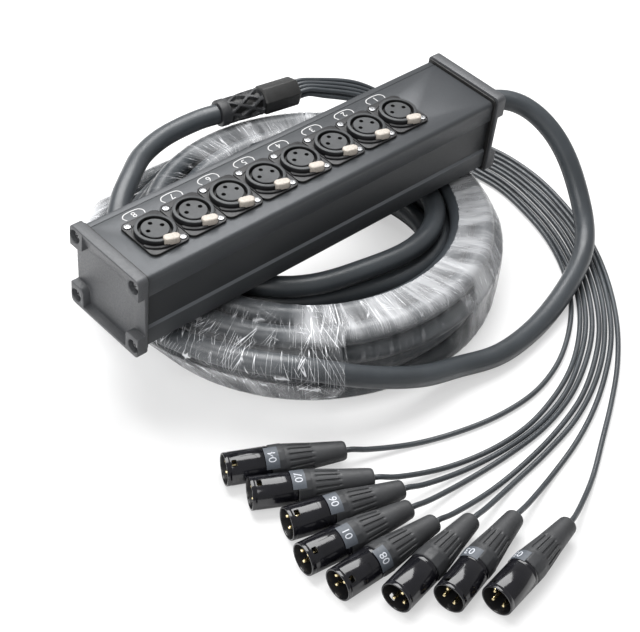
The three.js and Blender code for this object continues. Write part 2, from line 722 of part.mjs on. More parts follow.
const footRing = rings[0];
const topRing = rings[rings.length - 1];
const footRun = coilTangent(footRing.heading);
const topRun = coilTangent(topRing.heading);
const restHeight = cordRadius + plugFloorGap;
const footJoin = footRing.centre.clone().addScaledVector(footRun, -seatGap).setZ(restHeight);
const footApproach = footJoin.clone().addScaledVector(footRun, -trunkDiameter);
const trunkStart = new THREE.Vector3(glandFace + seatGap, 0, boxBottom + glandHeight);
const trunkRoute = [trunkStart, ...vectors(trunkFrontRoute), footApproach, footJoin];
const trunkSteps = stepsFor(trunkRoute, trunkStepLength);
place('multicore_to_box', geometryOf(tube(trunkRoute, trunkDiameter, trunkSides, trunkSteps)),
  'cord', assembly, false);

const fanOutRun = fanOutEnd.clone().sub(fanOutStart).normalize();
const topJoin = topRing.centre.clone().addScaledVector(topRun, seatGap);
const topLeave = topJoin.clone().addScaledVector(topRun, trunkDiameter);
const fanOutJoin = fanOutStart.clone().addScaledVector(fanOutRun, -seatGap);
const fanOutApproach = fanOutJoin.clone().addScaledVector(fanOutRun, -trunkDiameter);
const topRoute = [topJoin, topLeave, ...vectors(trunkTopRoute), fanOutApproach, fanOutJoin];
const topSteps = stepsFor(topRoute, trunkStepLength);
place('multicore_to_fan_out', geometryOf(tube(topRoute, trunkDiameter, trunkSides, topSteps)),
  'cord', assembly, false);

// Fan-out boot: a grooved strain relief and a six-sided collar that the tails leave
const fanOut = new THREE.Group();
fanOut.position.copy(fanOutStart);
fanOut.quaternion.setFromUnitVectors(new THREE.Vector3(0, 0, 1), fanOutRun);
assembly.add(fanOut);

function strainRelief() {
  const profile = [[0, 0], [reliefNeckRadius, 0]];
  const bandLength = reliefLength / reliefGrooves;
  for (let groove = 0; groove < reliefGrooves; groove += 1) {
    const share = (groove + 1) / reliefGrooves;
    const radius = reliefNeckRadius + (reliefRadius - reliefNeckRadius) * share;
    const low = groove * bandLength;
    profile.push([radius, low + bandLength * reliefFlankShare]);
    profile.push([radius, low + bandLength * (1 - reliefFlankShare)]);
    if (groove + 1 < reliefGrooves) profile.push([radius - reliefGrooveDepth, low + bandLength]);
  }
  profile.push([reliefRadius, reliefLength], [0, reliefLength]);
  return turned(profile, reliefSides);
}

const fanCollarLength = fanOutEnd.distanceTo(fanOutStart) - reliefLength - seatGap;

function fanCollar() {
  const radius = collarAcrossCorners / 2;
  return turned([
    [0, 0], [radius - fanCollarBevel, 0], [radius, fanCollarBevel],
    [radius, fanCollarLength - fanCollarBevel], [radius - fanCollarBevel, fanCollarLength],
    [0, fanCollarLength],
  ], coilSides);
}

place('fan_out_relief', geometryOf(strainRelief()), 'boot', fanOut, false);
const collarMesh = place('fan_out_collar', geometryOf(fanCollar()), 'boot', fanOut, false);
collarMesh.position.z = reliefLength + seatGap;

// Plugs lie on the bands of their boots; each is built along +Z from its mouth and laid over
function plugShell() {
  const rear = plugShellLength + plugNeckLength;
  const shell = turned([
    [0, plugCavityDepth], [plugCavityRadius, plugCavityDepth], [plugCavityRadius, 0], [plugShellRadius, 0],
    [plugShellRadius, plugShellLength], [plugNeckRadius, plugShellLength], [plugNeckRadius, rear], [0, rear],
  ], plugSides);
  const pins = pinHeadings.map((heading) => rod(
    plugPinRadius, plugCavityDepth - plugPinLength, plugCavityDepth + seatGap, smallSides,
    [plugPinCircle * Math.cos(heading), plugPinCircle * Math.sin(heading)]));
  const catchWindow = block(
    [-plugShellRadius - overrun, -windowWidth / 2, windowFromMouth],
    [-windowFloorRadius, windowWidth / 2, windowFromMouth + windowLength]);
  return without(shell, [catchWindow]).add(joined(pins));
}

function plugBoot() {
  const boreRadius = plugNeckRadius + seatGap;
  return turned([
    [0, plugNeckLength], [boreRadius, plugNeckLength], [boreRadius, 0],
    [plugBandRadius - plugBandBevel, 0], [plugBandRadius, plugBandBevel],
    [plugBandRadius, plugBandLength - plugBandBevel], ...plugBootProfile, [0, plugBootLength],
  ], plugBootSides);
}

const plugBootLength = plugBootProfile[plugBootProfile.length - 1][1];
const plugBootStart = plugShellLength + seatGap;
const plugAxisHeight = plugBandRadius + plugFloorGap;
const plugLength = plugBootStart + plugBootLength;
const tailNames = Object.keys(plugPlaces);
const tailAcross = new THREE.Vector3(0, 0, 1).cross(fanOutRun).normalize();

tailNames.forEach((key, index) => {
  const { label, front, heading } = plugPlaces[key];
  const number = String(label).padStart(2, '0');
  const turn = THREE.MathUtils.degToRad(heading);
  const plug = new THREE.Group();
  plug.position.set(...front, plugAxisHeight);
  plug.rotation.set(0, Math.PI / 2, turn, 'ZYX');
  assembly.add(plug);
  place(`plug_shell_${number}`, geometryOf(plugShell()), 'chromeBlack', plug, false);
  const boot = place(`plug_boot_${number}`, geometryOf(plugBoot()), 'boot', plug, false);
  boot.position.z = plugBootStart;

  const column = Math.floor(index / 2) - (tailNames.length / 2 - 1) / 2;
  const row = index % 2 - 0.5;
  const start = fanOutEnd.clone().addScaledVector(fanOutRun, seatGap);
  start.addScaledVector(tailAcross, column * tailColumnPitch);
  start.z += row * tailRowPitch;
  const startRun = start.clone().addScaledVector(fanOutRun, 2 * tailDiameter);
  const run = new THREE.Vector3(Math.cos(turn), Math.sin(turn), 0);
  const end = new THREE.Vector3(...front, plugAxisHeight).addScaledVector(run, plugLength + seatGap);
  const endRun = end.clone().addScaledVector(run, tailDiameter);
  const route = [start, startRun, ...vectors(tailRoutes[key]), endRun, end];
  place(`tail_${number}`, geometryOf(tube(route, tailDiameter, tailSides, tailSteps)),
    'cord', assembly, false);
});

// The origin is the middle of the object's own pieces, on the surface it stands on
const group = new THREE.Group();
group.add(assembly);
group.updateMatrixWorld(true);
const ownBox = new THREE.Box3();
ownMeshes.forEach((mesh) => ownBox.expandByObject(mesh, true));
const middle = ownBox.getCenter(new THREE.Vector3());
assembly.position.set(-middle.x, -middle.y, -ownBox.min.z);

export default group;
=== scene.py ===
# Stage box snake: an eight-socket stage box on its coiled multicore, with a fan-out of eight plugs.
# The sizes are in millimetres in the frame of the box, whose plan has its centre at x = y = 0.
import math

import bmesh
import bpy
from bpy.props import FloatProperty, FloatVectorProperty, IntProperty, PointerProperty
from mathutils import Matrix, Vector, noise


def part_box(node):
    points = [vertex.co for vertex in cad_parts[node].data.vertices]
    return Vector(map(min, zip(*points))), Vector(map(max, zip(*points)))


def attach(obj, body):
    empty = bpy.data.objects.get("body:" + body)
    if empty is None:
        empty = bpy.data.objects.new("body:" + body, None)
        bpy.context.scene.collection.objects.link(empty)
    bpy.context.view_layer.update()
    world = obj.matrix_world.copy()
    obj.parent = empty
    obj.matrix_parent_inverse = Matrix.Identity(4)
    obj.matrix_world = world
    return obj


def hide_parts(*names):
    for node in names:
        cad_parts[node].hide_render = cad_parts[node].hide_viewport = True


bl_info = {
    "name": "Stage box snake",
    "version": (1, 0, 0),
    "blender": (4, 5, 0),
    "location": "3D View > Sidebar > Snake",
    "description": "Builds a stage box on its coiled multicore, with a fan-out of eight plugs",
    "category": "Object",
}

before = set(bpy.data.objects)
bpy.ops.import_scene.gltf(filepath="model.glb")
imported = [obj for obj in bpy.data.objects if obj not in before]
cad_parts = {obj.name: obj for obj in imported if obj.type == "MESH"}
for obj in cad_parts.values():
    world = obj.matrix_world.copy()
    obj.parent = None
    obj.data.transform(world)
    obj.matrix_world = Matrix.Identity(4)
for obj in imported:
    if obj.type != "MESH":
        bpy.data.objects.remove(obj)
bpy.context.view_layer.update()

MM = 0.001
SHELL_BODY = "stage_box"
trough_low, trough_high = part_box("base_trough")
box_centre = (trough_low + trough_high) / 2
deck_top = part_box("deck_lid")[1].z / MM
coil_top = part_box("multicore_coil")[1].z / MM
near_side_reach = 24

# Camera of the photograph
camera_place = (-509.0, -500.0, 649.1)
camera_right = Vector((0.7342048, -0.6733957, 0.0864960))
camera_up = Vector((0.4157909, 0.5466939, 0.7268037))
camera_lens = 87.47
camera_sensor = 36.0

# Coil: four layers of three turns, wound in, up, out and up again
coil_centre = (20, 8)
coil_outer_radius = 115.5
coil_oval = 5
coil_oval_heading = math.radians(-10)
coil_radial_pitch = 13.6
coil_layer_pitch = 13.6
coil_layers = 4
coil_turns_per_layer = 3
coil_inner_shift = 7
coil_reversal_heading = math.radians(45)
coil_top_end_heading = math.radians(165)
coil_climb_turns = 0.5
coil_flat_share = 0.1
coil_foot_lead = 40
coil_top_lead = 13
coil_steps_per_turn = 150
inner_loop_shift = 14
inner_loop_heading = math.radians(-105)
inner_loop_reach = math.radians(85)

# Routes of the free cords
cord_gap = 0.3
floor_gap = 0.1
gland_face = 147.6
gland_height = 80
trunk_front_route = [
    (157, 0, 80), (170, -4, 80), (181, -14, 77), (187.5, -28, 70), (190.5, -41, 61), (191.5, -54, 48),
    (190, -66, 34), (185, -78, 23), (176, -89, 15.5), (162, -98, 12), (142, -106.5, 10.5),
    (118, -114, 8), (90, -120, 7), (56, -122.5, 9), (27, -117, 13.5), (3, -115.5, 20),
    (-22.5, -109.5, 29), (-45, -100, 37), (-69, -84, 45), (-89, -63, 46), (-104, -37, 45),
    (-113.5, -4, 42), (-112.5, 31.5, 36), (-95.5, 75, 28), (-63.5, 108, 20), (-23, 127, 13),
    (20, 132.5, 8), (50, 127.5, 6.8),
]
trunk_top_route = [
    (-83, 66, 51.5), (-69, 80, 57), (-53, 91.5, 59.8), (-36, 103, 59.9), (-13, 110.5, 59.9),
]
fan_out_start = Vector((29.8, 109.5, 60))
fan_out_end = Vector((87.6, 99.2, 61))
fan_out_run = (fan_out_end - fan_out_start).normalized()
plug_length = 69
tail_inside_boot = 22
plug_places = {
    "a": {"label": 4, "digits": 25.5, "front": (-129.5, -90.9), "heading": -26.4, "roll": -24},
    "b": {"label": 7, "digits": 26, "front": (-129.6, -112.3), "heading": -28.9, "roll": -6},
    "c": {"label": 6, "digits": 26, "front": (-127.8, -140.35), "heading": -17.9, "roll": -9},
    "d": {"label": 1, "digits": 25, "front": (-136.9, -163.15), "heading": -8.7, "roll": -21},
    "e": {"label": 8, "digits": 26.5, "front": (-134.0, -186.4), "heading": -2.1, "roll": -36},
    "f": {"label": 2, "digits": 26, "front": (-116.1, -211.0), "heading": 8.9, "roll": 150},
    "g": {"label": 3, "digits": 27, "front": (-95.1, -228.4), "heading": 12.4, "roll": 33},
    "h": {"label": 5, "digits": 27.5, "front": (-76.8, -245.0), "heading": 8.3, "roll": 45},
}
# A tail lies on the floor, at the height below, where its route gives no height
tail_floor_height = 2
tail_routes = {
    "a": [(102, 88, 57), (127.5, 76, 48.5), (148.5, 61.5, 33.5), (165, 44.5, 16), (178.5, 21.5, 4),
        (184, -7.5), (179.5, -36.5), (170.5, -64.5), (156, -90.5), (137, -113.5), (114, -131.5),
        (87.5, -145.5), (59, -153), (29.5, -153), (0.5, -147.5), (-27.5, -138), (-55, -127, 6.5)],
    "b": [(102.5, 89, 60.5), (129, 76.5, 52), (151, 62.5, 36.5), (169, 46, 17.5), (183.5, 23, 4),
        (188, -7), (183, -37), (173.5, -66), (159, -93), (140.5, -117), (117.5, -137), (91, -153),
        (62, -163.5), (32.5, -169), (2, -168), (-28, -161), (-56.5, -151, 6)],
    "c": [(103, 92, 57), (129.5, 80, 48.5), (152, 66, 33.5), (171, 49.5, 16), (186.5, 26.5, 4),
        (192.5, -3), (188.5, -33.5), (179.5, -62.5), (165.5, -90), (147.5, -114.5), (125.5, -135.5),
        (100, -152), (72, -165), (42, -172), (11.5, -173), (-19, -169.5), (-48.5, -164.5, 6)],
    "d": [(103, 93, 61), (131, 81, 52), (154.5, 67, 36), (174, 50.5, 17), (191.5, 28, 4), (198, -2.5),
        (193.5, -34), (184, -64), (169, -92), (150, -117.5), (127, -139.5), (100, -156.5), (71, -169),
        (40, -175.8), (8.5, -177), (-23.5, -175.5), (-55, -174.5, 6.5)],
    "e": [(103.5, 96, 57), (132, 84, 48.5), (156, 70, 32.5), (177.5, 53.5, 14.5), (195.5, 29.5, 3.5),
        (202, -1.5), (198.5, -33.5), (188.5, -64.5), (173.5, -92.5), (154.5, -118.5), (131.5, -141.5),
        (105, -159.5), (76, -173.5), (45, -182), (13, -187), (-19, -189), (-51, -189, 6)],
    "f": [(104, 97, 61), (132.5, 85.5, 52.5), (157, 72.5, 36.5), (178, 57.5, 18), (197, 36, 4.5),
        (206.5, 5.5), (204, -26), (196, -57), (182.5, -86), (164.5, -112.5), (143, -136), (118, -156),
        (90, -171.8), (60, -183), (28.5, -189.2), (-3, -193), (-34, -198, 6.5)],
    "g": [(104.5, 100, 57.5), (132.5, 88.5, 49.5), (157.5, 76, 34.5), (179.5, 61.5, 17), (199, 41, 4.5),
        (210.5, 12), (210, -19.5), (202.6, -50), (190.8, -79), (173.8, -106.2), (153.5, -130.8),
        (130.5, -152), (104, -169.5), (76, -184), (47, -195), (16.5, -203), (-14, -210.5, 6.5)],
    "h": [(104.5, 101, 61), (133.5, 90, 53.5), (158, 78, 38), (180.5, 64.5, 20), (201, 45.5, 6),
        (214.5, 17.5), (215, -14), (208.3, -44.5), (197, -74), (181, -101.8), (161.8, -126.8),
        (139.5, -149.8), (115, -169.7), (88.5, -187), (61, -203), (33.5, -218.5), (5, -231, 6.5)],
}
tail_column_pitch = 3.7
tail_row_pitch = 3.6

# Sockets and latch tabs, placed on the deck
socket_count = 8
socket_pitch = 26.2
socket_row = (-16.3, -1.3)
pin_circle = 4.6
pin_places = [
    (pin_circle * math.cos(heading), pin_circle * math.sin(heading))
    for heading in (math.radians(88), math.radians(178), math.radians(-2))]
flange_screw_places = {"far": (-9.5, 12), "near": (9.5, -12)}
latch_centre = (2.1, -11.5)
latch_turn = math.radians(-17)
latch_length = 9.6
latch_width = 5.4
latch_gap = 0.3


class CordSettings(bpy.types.PropertyGroup):
    """The multicore and its tails"""
    trunk_diameter: FloatProperty(
        name="Multicore diameter", description="Outside diameter of the multicore", default=0.013,
        unit='LENGTH')
    tail_diameter: FloatProperty(
        name="Tail diameter", description="Outside diameter of one tail", default=0.0032,
        unit='LENGTH')
    jacket_colour: FloatVectorProperty(
        name="Jacket", description="Colour of the cords' jackets", default=(0.034, 0.039, 0.044),
        size=3, subtype='COLOR')


class FilmSettings(bpy.types.PropertyGroup):
    """The clear stretch film round the coil"""
    offset: FloatProperty(
        name="Offset", description="Distance of the film from the cord under it", default=0.0004,
        unit='LENGTH')
    colour: FloatVectorProperty(
        name="Haze", description="Colour of the film where it is stretched or creased",
        default=(0.62, 0.63, 0.65), size=3, subtype='COLOR')
    wrinkle: FloatProperty(
        name="Wrinkle", description="Height of the film's creases", default=0.0005, unit='LENGTH')


class BoxSettings(bpy.types.PropertyGroup):
    """The extruded case and its end caps"""
    edge_softness: FloatProperty(
        name="Edge softness", description="Width of the broken edges of the case", default=0.0004,
        unit='LENGTH')
    anodised_colour: FloatVectorProperty(
        name="Anodising", description="Colour of the extrusions", default=(0.044, 0.047, 0.051),
        size=3, subtype='COLOR')
    cast_colour: FloatVectorProperty(
        name="End caps", description="Colour of the cast end caps", default=(0.05, 0.052, 0.056),
        size=3, subtype='COLOR')


class SocketSettings(bpy.types.PropertyGroup):
    """The panel sockets, their latch tabs and screws"""
    flange_width: FloatProperty(
        name="Flange width", description="Width of a socket's flange", default=0.0258,
        unit='LENGTH')
    flange_length: FloatProperty(
        name="Flange length", description="Length of a socket's flange", default=0.031,
        unit='LENGTH')
    collar_radius: FloatProperty(
        name="Collar radius", description="Outer radius of the raised collar", default=0.0116,
        unit='LENGTH')
    latch_colour: FloatVectorProperty(
        name="Latch tab", description="Colour of the latch tabs", default=(0.37, 0.335, 0.295),
        size=3, subtype='COLOR')
    screw_colour: FloatVectorProperty(
        name="Screws", description="Colour of the bright screws", default=(0.3, 0.304, 0.312),
        size=3, subtype='COLOR')


class MarkSettings(bpy.types.PropertyGroup):
    """The channel digits and arcs printed on the deck"""
    line_width: FloatProperty(
        name="Line width", description="Width of a printed arc", default=0.0006, unit='LENGTH')
    digit_height: FloatProperty(
        name="Digit height", description="Height of a channel digit", default=0.0042,
        unit='LENGTH')


class PlugSettings(bpy.types.PropertyGroup):
    """The eight plugs with their boots and labels"""
    shell_radius: FloatProperty(
        name="Shell radius", description="Outer radius of a plug's shell", default=0.0093,
        unit='LENGTH')
    band_radius: FloatProperty(
        name="Band radius", description="Outer radius of the band behind the shell",
        default=0.0096, unit='LENGTH')
    boot_grooves: IntProperty(
        name="Boot grooves", description="Number of grooves round a boot", default=16, min=6)


class StageSettings(bpy.types.PropertyGroup):
    """Floor, lights and camera"""
    floor_size: FloatProperty(
        name="Floor size", description="Length of the floor's sides", default=6.0, unit='LENGTH')
    key_power: FloatProperty(
        name="Key light", description="Power of the large soft light", default=33.0, unit='POWER')
    fill_strength: FloatProperty(
        name="Fill light", description="Strength of the light from all round", default=0.38)


def from_box(point):
    """A point of the box's frame, in millimetres, as a place in the row frame, in metres."""
    x, y, z = point
    return Vector((box_centre.x + x * MM, box_centre.y + y * MM, z * MM))


def placed(shape, matrix):
    """Moves a shape made in millimetres to its place in the row frame."""
    bmesh.ops.transform(shape, matrix=matrix @ Matrix.Scale(MM, 4), verts=shape.verts)
    return shape


def add_piece(name, shape, materials, body=SHELL_BODY, sharp_angle=38, replaces=()):
    """Makes an object from a shape, smooth but for edges sharper than the angle."""
    mesh = bpy.data.meshes.new(name)
    shape.to_mesh(mesh)
    shape.free()
    for material in materials:
        mesh.materials.append(material)
    mesh.shade_smooth()
    mesh.set_sharp_from_angle(angle=math.radians(sharp_angle))
    piece = bpy.data.objects.new(name, mesh)
    bpy.context.scene.collection.objects.link(piece)
    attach(piece, body)
    if replaces:
        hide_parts(*replaces)
    return piece


def turned(profile, segments):
    """A profile of (radius, height) pairs spun about Z, closed where it meets the axis."""
    shape = bmesh.new()
    points = [shape.verts.new((radius, 0, height)) for radius, height in profile]
    edges = [shape.edges.new(pair) for pair in zip(points, points[1:])]
    bmesh.ops.spin(
        shape, geom=points + edges, cent=(0, 0, 0), axis=(0, 0, 1), angle=2 * math.pi,
        steps=segments, use_merge=True, use_duplicate=False)
    bmesh.ops.remove_doubles(shape, verts=shape.verts, dist=0.001)
    bmesh.ops.recalc_face_normals(shape, faces=shape.faces)
    return shape


def moved(shape, place):
    """Shifts a shape."""
    bmesh.ops.translate(shape, vec=place, verts=shape.verts)
    return shape


def spun(shape, angle, axis='Z'):
    """Turns a shape about an axis through the origin."""
    turn = Matrix.Rotation(angle, 3, axis)
    bmesh.ops.rotate(shape, cent=(0, 0, 0), matrix=turn, verts=shape.verts)
    return shape


def thickened(shape, height):
    """Raises the faces of a flat shape, which makes it a plate."""
    raised = bmesh.ops.extrude_face_region(shape, geom=shape.faces[:])["geom"]
    top_points = [item for item in raised if isinstance(item, bmesh.types.BMVert)]
    bmesh.ops.translate(shape, vec=(0, 0, height), verts=top_points)
    bmesh.ops.recalc_face_normals(shape, faces=shape.faces)
    return shape


def made_whole(shape):
    """Makes one face of the triangles that share a plane."""
    bmesh.ops.dissolve_limit(
        shape, angle_limit=math.radians(0.5), verts=shape.verts, edges=shape.edges)
    return shape


def bevelled(shape, edges, width, segments=3, clamp=False):
    """Rounds some edges of a shape."""
    bmesh.ops.bevel(
        shape, geom=edges, offset=width, offset_type='OFFSET', segments=segments, profile=0.5,
        affect='EDGES', clamp_overlap=clamp, material=-1)
    return shape


def rounded_plate(width, length, low, high, corner, edge_bevel=0.0):
    """A flat plate round the Z axis with rounded corners and a softened top edge."""
    shape = bmesh.new()
    x, y = width / 2, length / 2
    corners = [shape.verts.new((*at, low)) for at in ((-x, -y), (x, -y), (x, y), (-x, y))]
    shape.faces.new(corners)
    bmesh.ops.bevel(
        shape, geom=corners, offset=corner, offset_type='OFFSET', segments=8, profile=0.5,
        affect='VERTICES', material=-1)
    thickened(shape, high - low)
    if edge_bevel:
        rim = [edge for edge in shape.edges if all(abs(v.co.z - high) < 1e-6 for v in edge.verts)]
        bevelled(shape, rim, edge_bevel)
    return shape


def block(low, high):
    """A box from its lowest to its highest corner."""
    shape = bmesh.new()
    bmesh.ops.create_cube(shape, size=1)
    size = [b - a for a, b in zip(low, high)]
    bmesh.ops.scale(shape, vec=size, verts=shape.verts)
    return moved(shape, [(a + b) / 2 for a, b in zip(low, high)])


def rod(radius, low, high, at=(0, 0), segments=24):
    """A cylinder along Z."""
    shape = turned([(0, low), (radius, low), (radius, high), (0, high)], segments)
    return moved(shape, (*at, 0))


def face_height(face):
    return face.calc_center_median().z


def face_radius(face):
    """Distance of a face's middle from the Z axis."""
    return Vector(face.calc_center_median()[:2]).length


def painted(shape, index, test=lambda face: True):
    """Gives a material index to the faces that pass the test."""
    for face in shape.faces:
        if test(face):
            face.material_index = index
    return shape


def joined(shapes):
    """Puts several shapes in one mesh."""
    whole = bmesh.new()
    for shape in shapes:
        part = bpy.data.meshes.new("part")
        shape.to_mesh(part)
        shape.free()
        whole.from_mesh(part)
        bpy.data.meshes.remove(part)
    return whole


def passing_object(data):
    """Puts data in the scene for as long as its mesh is taken."""
    piece = bpy.data.objects.new("passing", data)
    bpy.context.scene.collection.objects.link(piece)
    return piece


def taken(*pieces):
    """The finished shape of the first passing object. All of them are removed."""
    bpy.context.view_layer.update()
    depsgraph = bpy.context.evaluated_depsgraph_get()
    mesh = bpy.data.meshes.new_from_object(pieces[0].evaluated_get(depsgraph))
    shape = bmesh.new()
    shape.from_mesh(mesh)
    bpy.data.meshes.remove(mesh)
    for piece in pieces:
        data = piece.data
        bpy.data.objects.remove(piece)
        store = bpy.data.meshes if isinstance(data, bpy.types.Mesh) else bpy.data.curves
        store.remove(data)
    return shape


def carved(shape, cutter):
    """Takes a cutter away from a shape. The cut faces keep the cutter's material index."""
    pieces = []
    for part in (shape, cutter):
        mesh = bpy.data.meshes.new("part")
        part.to_mesh(mesh)
        part.free()
        for _ in range(3):
            mesh.materials.append(None)
        pieces.append(passing_object(mesh))
    cut = pieces[0].modifiers.new("cut", 'BOOLEAN')
    cut.operation = 'DIFFERENCE'
    cut.solver = 'EXACT'
    cut.object = pieces[1]
    return taken(*pieces)


def text_shape(words, height, depth):
    """Flat characters as a mesh, their middle at the origin, read from +Z with +Y up."""
    curve = bpy.data.curves.new("characters", 'FONT')
    curve.body = words
    curve.extrude = depth
    curve.resolution_u = 4
    shape = taken(passing_object(curve))
    low = [min(v.co[axis] for v in shape.verts) for axis in range(3)]
    high = [max(v.co[axis] for v in shape.verts) for axis in range(3)]
    factor = height / (high[1] - low[1])
    moved(shape, [-(a + b) / 2 for a, b in zip(low, high)])
    bmesh.ops.scale(shape, vec=(factor, factor, 1), verts=shape.verts)
    bmesh.ops.remove_doubles(shape, verts=shape.verts, dist=0.001)
    return shape


def softened_copy(name, node, width, materials, sharp_angle=38, zones=()):
    """A CAD node's mesh, merged, its flat faces made whole and its sharp edges broken.

    Each zone gives the faces of the near side between two heights a material index."""
    shape = bmesh.new()
    shape.from_mesh(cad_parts[node].data)
    bmesh.ops.remove_doubles(shape, verts=shape.verts, dist=1e-6)
    made_whole(shape)
    sharp = [edge for edge in shape.edges
             if edge.is_manifold and edge.calc_face_angle() > math.radians(sharp_angle)]
    bevelled(shape, sharp, width, 2, clamp=True)
    painted(shape, 0)
    for index, low, high in zones:
        painted(shape, index, lambda face: low < face_height(face) / MM < high
                and face.calc_center_median().y < box_centre.y - near_side_reach * MM)
    return add_piece(name, shape, materials, replaces=[node])


# Curves through a route, as in the solids: centripetal, with mirrored end points
def smooth_route(points, step):
    """Points about one step apart on the smooth curve through a route."""
    route = [Vector(point) for point in points]
    ends = [2 * route[0] - route[1], *route, 2 * route[-1] - route[-2]]
    line = [route[0]]
    for p0, p1, p2, p3 in zip(ends, ends[1:], ends[2:], ends[3:]):
        d0, d1, d2 = [max((b - a).length, 1e-6) ** 0.5 for a, b in ((p0, p1), (p1, p2), (p2, p3))]
        tangent1 = ((p1 - p0) / d0 - (p2 - p0) / (d0 + d1) + (p2 - p1) / d1) * d1
        tangent2 = ((p2 - p1) / d1 - (p3 - p1) / (d1 + d2) + (p3 - p2) / d2) * d1
        count = max(1, round((p2 - p1).length / step))
        for index in range(1, count + 1):
            t = index / count
            line.append(
                p1 * (2 * t ** 3 - 3 * t ** 2 + 1) + tangent1 * (t ** 3 - 2 * t ** 2 + t)
                + p2 * (3 * t ** 2 - 2 * t ** 3) + tangent2 * (t ** 3 - t ** 2))
    return line


def evened(line, passes):
    """The same line with its short waves smoothed; three points stay at each end."""
    points = [point.copy() for point in line]
    for _ in range(passes):
        inner = range(3, len(points) - 3)
        points[3:len(points) - 3] = [
            (points[i - 1] + 2 * points[i] + points[i + 1]) / 4 for i in inner]
    return points


def cord_piece(name, line, diameter, material, replaces, sides=20):
    """A round cord along a line of the box's frame, resting on the floor where it meets it."""
    path = [from_box(point) for point in line]
    curve = bpy.data.curves.new(name, 'CURVE')
    curve.dimensions = '3D'
    curve.bevel_depth = diameter / 2
    curve.bevel_resolution = sides // 2 - 2
    curve.use_fill_caps = True
    spline = curve.splines.new('POLY')
    spline.points.add(len(path) - 1)
    for place, point in zip(spline.points, path):
        place.co = (*point, 1)
    shape = taken(passing_object(curve))
    bmesh.ops.remove_doubles(shape, verts=shape.verts, dist=1e-6)
    bmesh.ops.recalc_face_normals(shape, faces=shape.faces)
    for point in shape.verts:
        point.co.z = max(point.co.z, 0)
    piece = add_piece(name, shape, [material], sharp_angle=60, replaces=replaces)
    return piece, path


# Materials: each has its own colour variation, roughness and bump, in object coordinates
class Finish:
    """A Principled material under construction, with helpers for its noise."""

    def __init__(self, name, colour, roughness, metallic=0.0, specular=0.5):
        self.material = bpy.data.materials.new(name)
        self.material.use_nodes = True
        self.tree = self.material.node_tree
        self.shader = self.tree.nodes["Principled BSDF"]
        self.shader.inputs["Base Color"].default_value = (*colour, 1)
        self.shader.inputs["Roughness"].default_value = roughness
        self.shader.inputs["Metallic"].default_value = metallic
        self.shader.inputs["Specular IOR Level"].default_value = specular
        self.colour = colour
        self.roughness = roughness
        self.coordinates = self.tree.nodes.new("ShaderNodeTexCoord")

    def node(self, kind, **values):
        made = self.tree.nodes.new(kind)
        for name, value in values.items():
            setattr(made, name, value)
        return made

    def link(self, source, target):
        self.tree.links.new(source, target)

    def math(self, operation, *values, clamp=False):
        """One step of arithmetic on sockets and numbers."""
        made = self.node("ShaderNodeMath", operation=operation, use_clamp=clamp)
        for socket, value in zip(made.inputs, values):
            if isinstance(value, (int, float)):
                socket.default_value = value
            else:
                self.link(value, socket)
        return made.outputs[0]

    def cloud(self, mapping, scale, detail):
        """Noise on mapped coordinates."""
        texture = self.node("ShaderNodeTexNoise")
        texture.inputs["Scale"].default_value = scale
        texture.inputs["Detail"].default_value = detail
        self.link(mapping.outputs["Vector"], texture.inputs["Vector"])
        return texture.outputs["Fac"]

    def noise(self, scale, detail, stretch=(1, 1, 1)):
        """Noise on the object's coordinates."""
        mapping = self.node("ShaderNodeMapping")
        mapping.inputs["Scale"].default_value = stretch
        self.link(self.coordinates.outputs["Object"], mapping.inputs["Vector"])
        return self.cloud(mapping, scale, detail)

    def spread(self, value, low, high, start=0.3, end=0.7):
        """Maps a range of a value to another range."""
        span = self.node("ShaderNodeMapRange")
        for name, number in (("From Min", start), ("From Max", end), ("To Min", low),
                             ("To Max", high)):
            span.inputs[name].default_value = number
        self.link(value, span.inputs["Value"])
        return span.outputs["Result"]

    def vary_colour(self, value, darker, lighter):
        ramp_node = self.node("ShaderNodeValToRGB")
        for element, position, share in zip(
                ramp_node.color_ramp.elements, (0.3, 0.7), (darker, lighter)):
            element.position = position
            element.color = (*[min(1, c * share) for c in self.colour], 1)
        self.link(value, ramp_node.inputs["Fac"])
        self.link(ramp_node.outputs["Color"], self.shader.inputs["Base Color"])

    def vary_roughness(self, value, spread):
        low, high = self.roughness - spread, self.roughness + spread
        self.link(self.spread(value, low, high), self.shader.inputs["Roughness"])

    def bump(self, value, distance, strength):
        bump = self.node("ShaderNodeBump")
        bump.inputs["Strength"].default_value = strength
        bump.inputs["Distance"].default_value = distance
        self.link(value, bump.inputs["Height"])
        self.link(bump.outputs["Normal"], self.shader.inputs["Normal"])


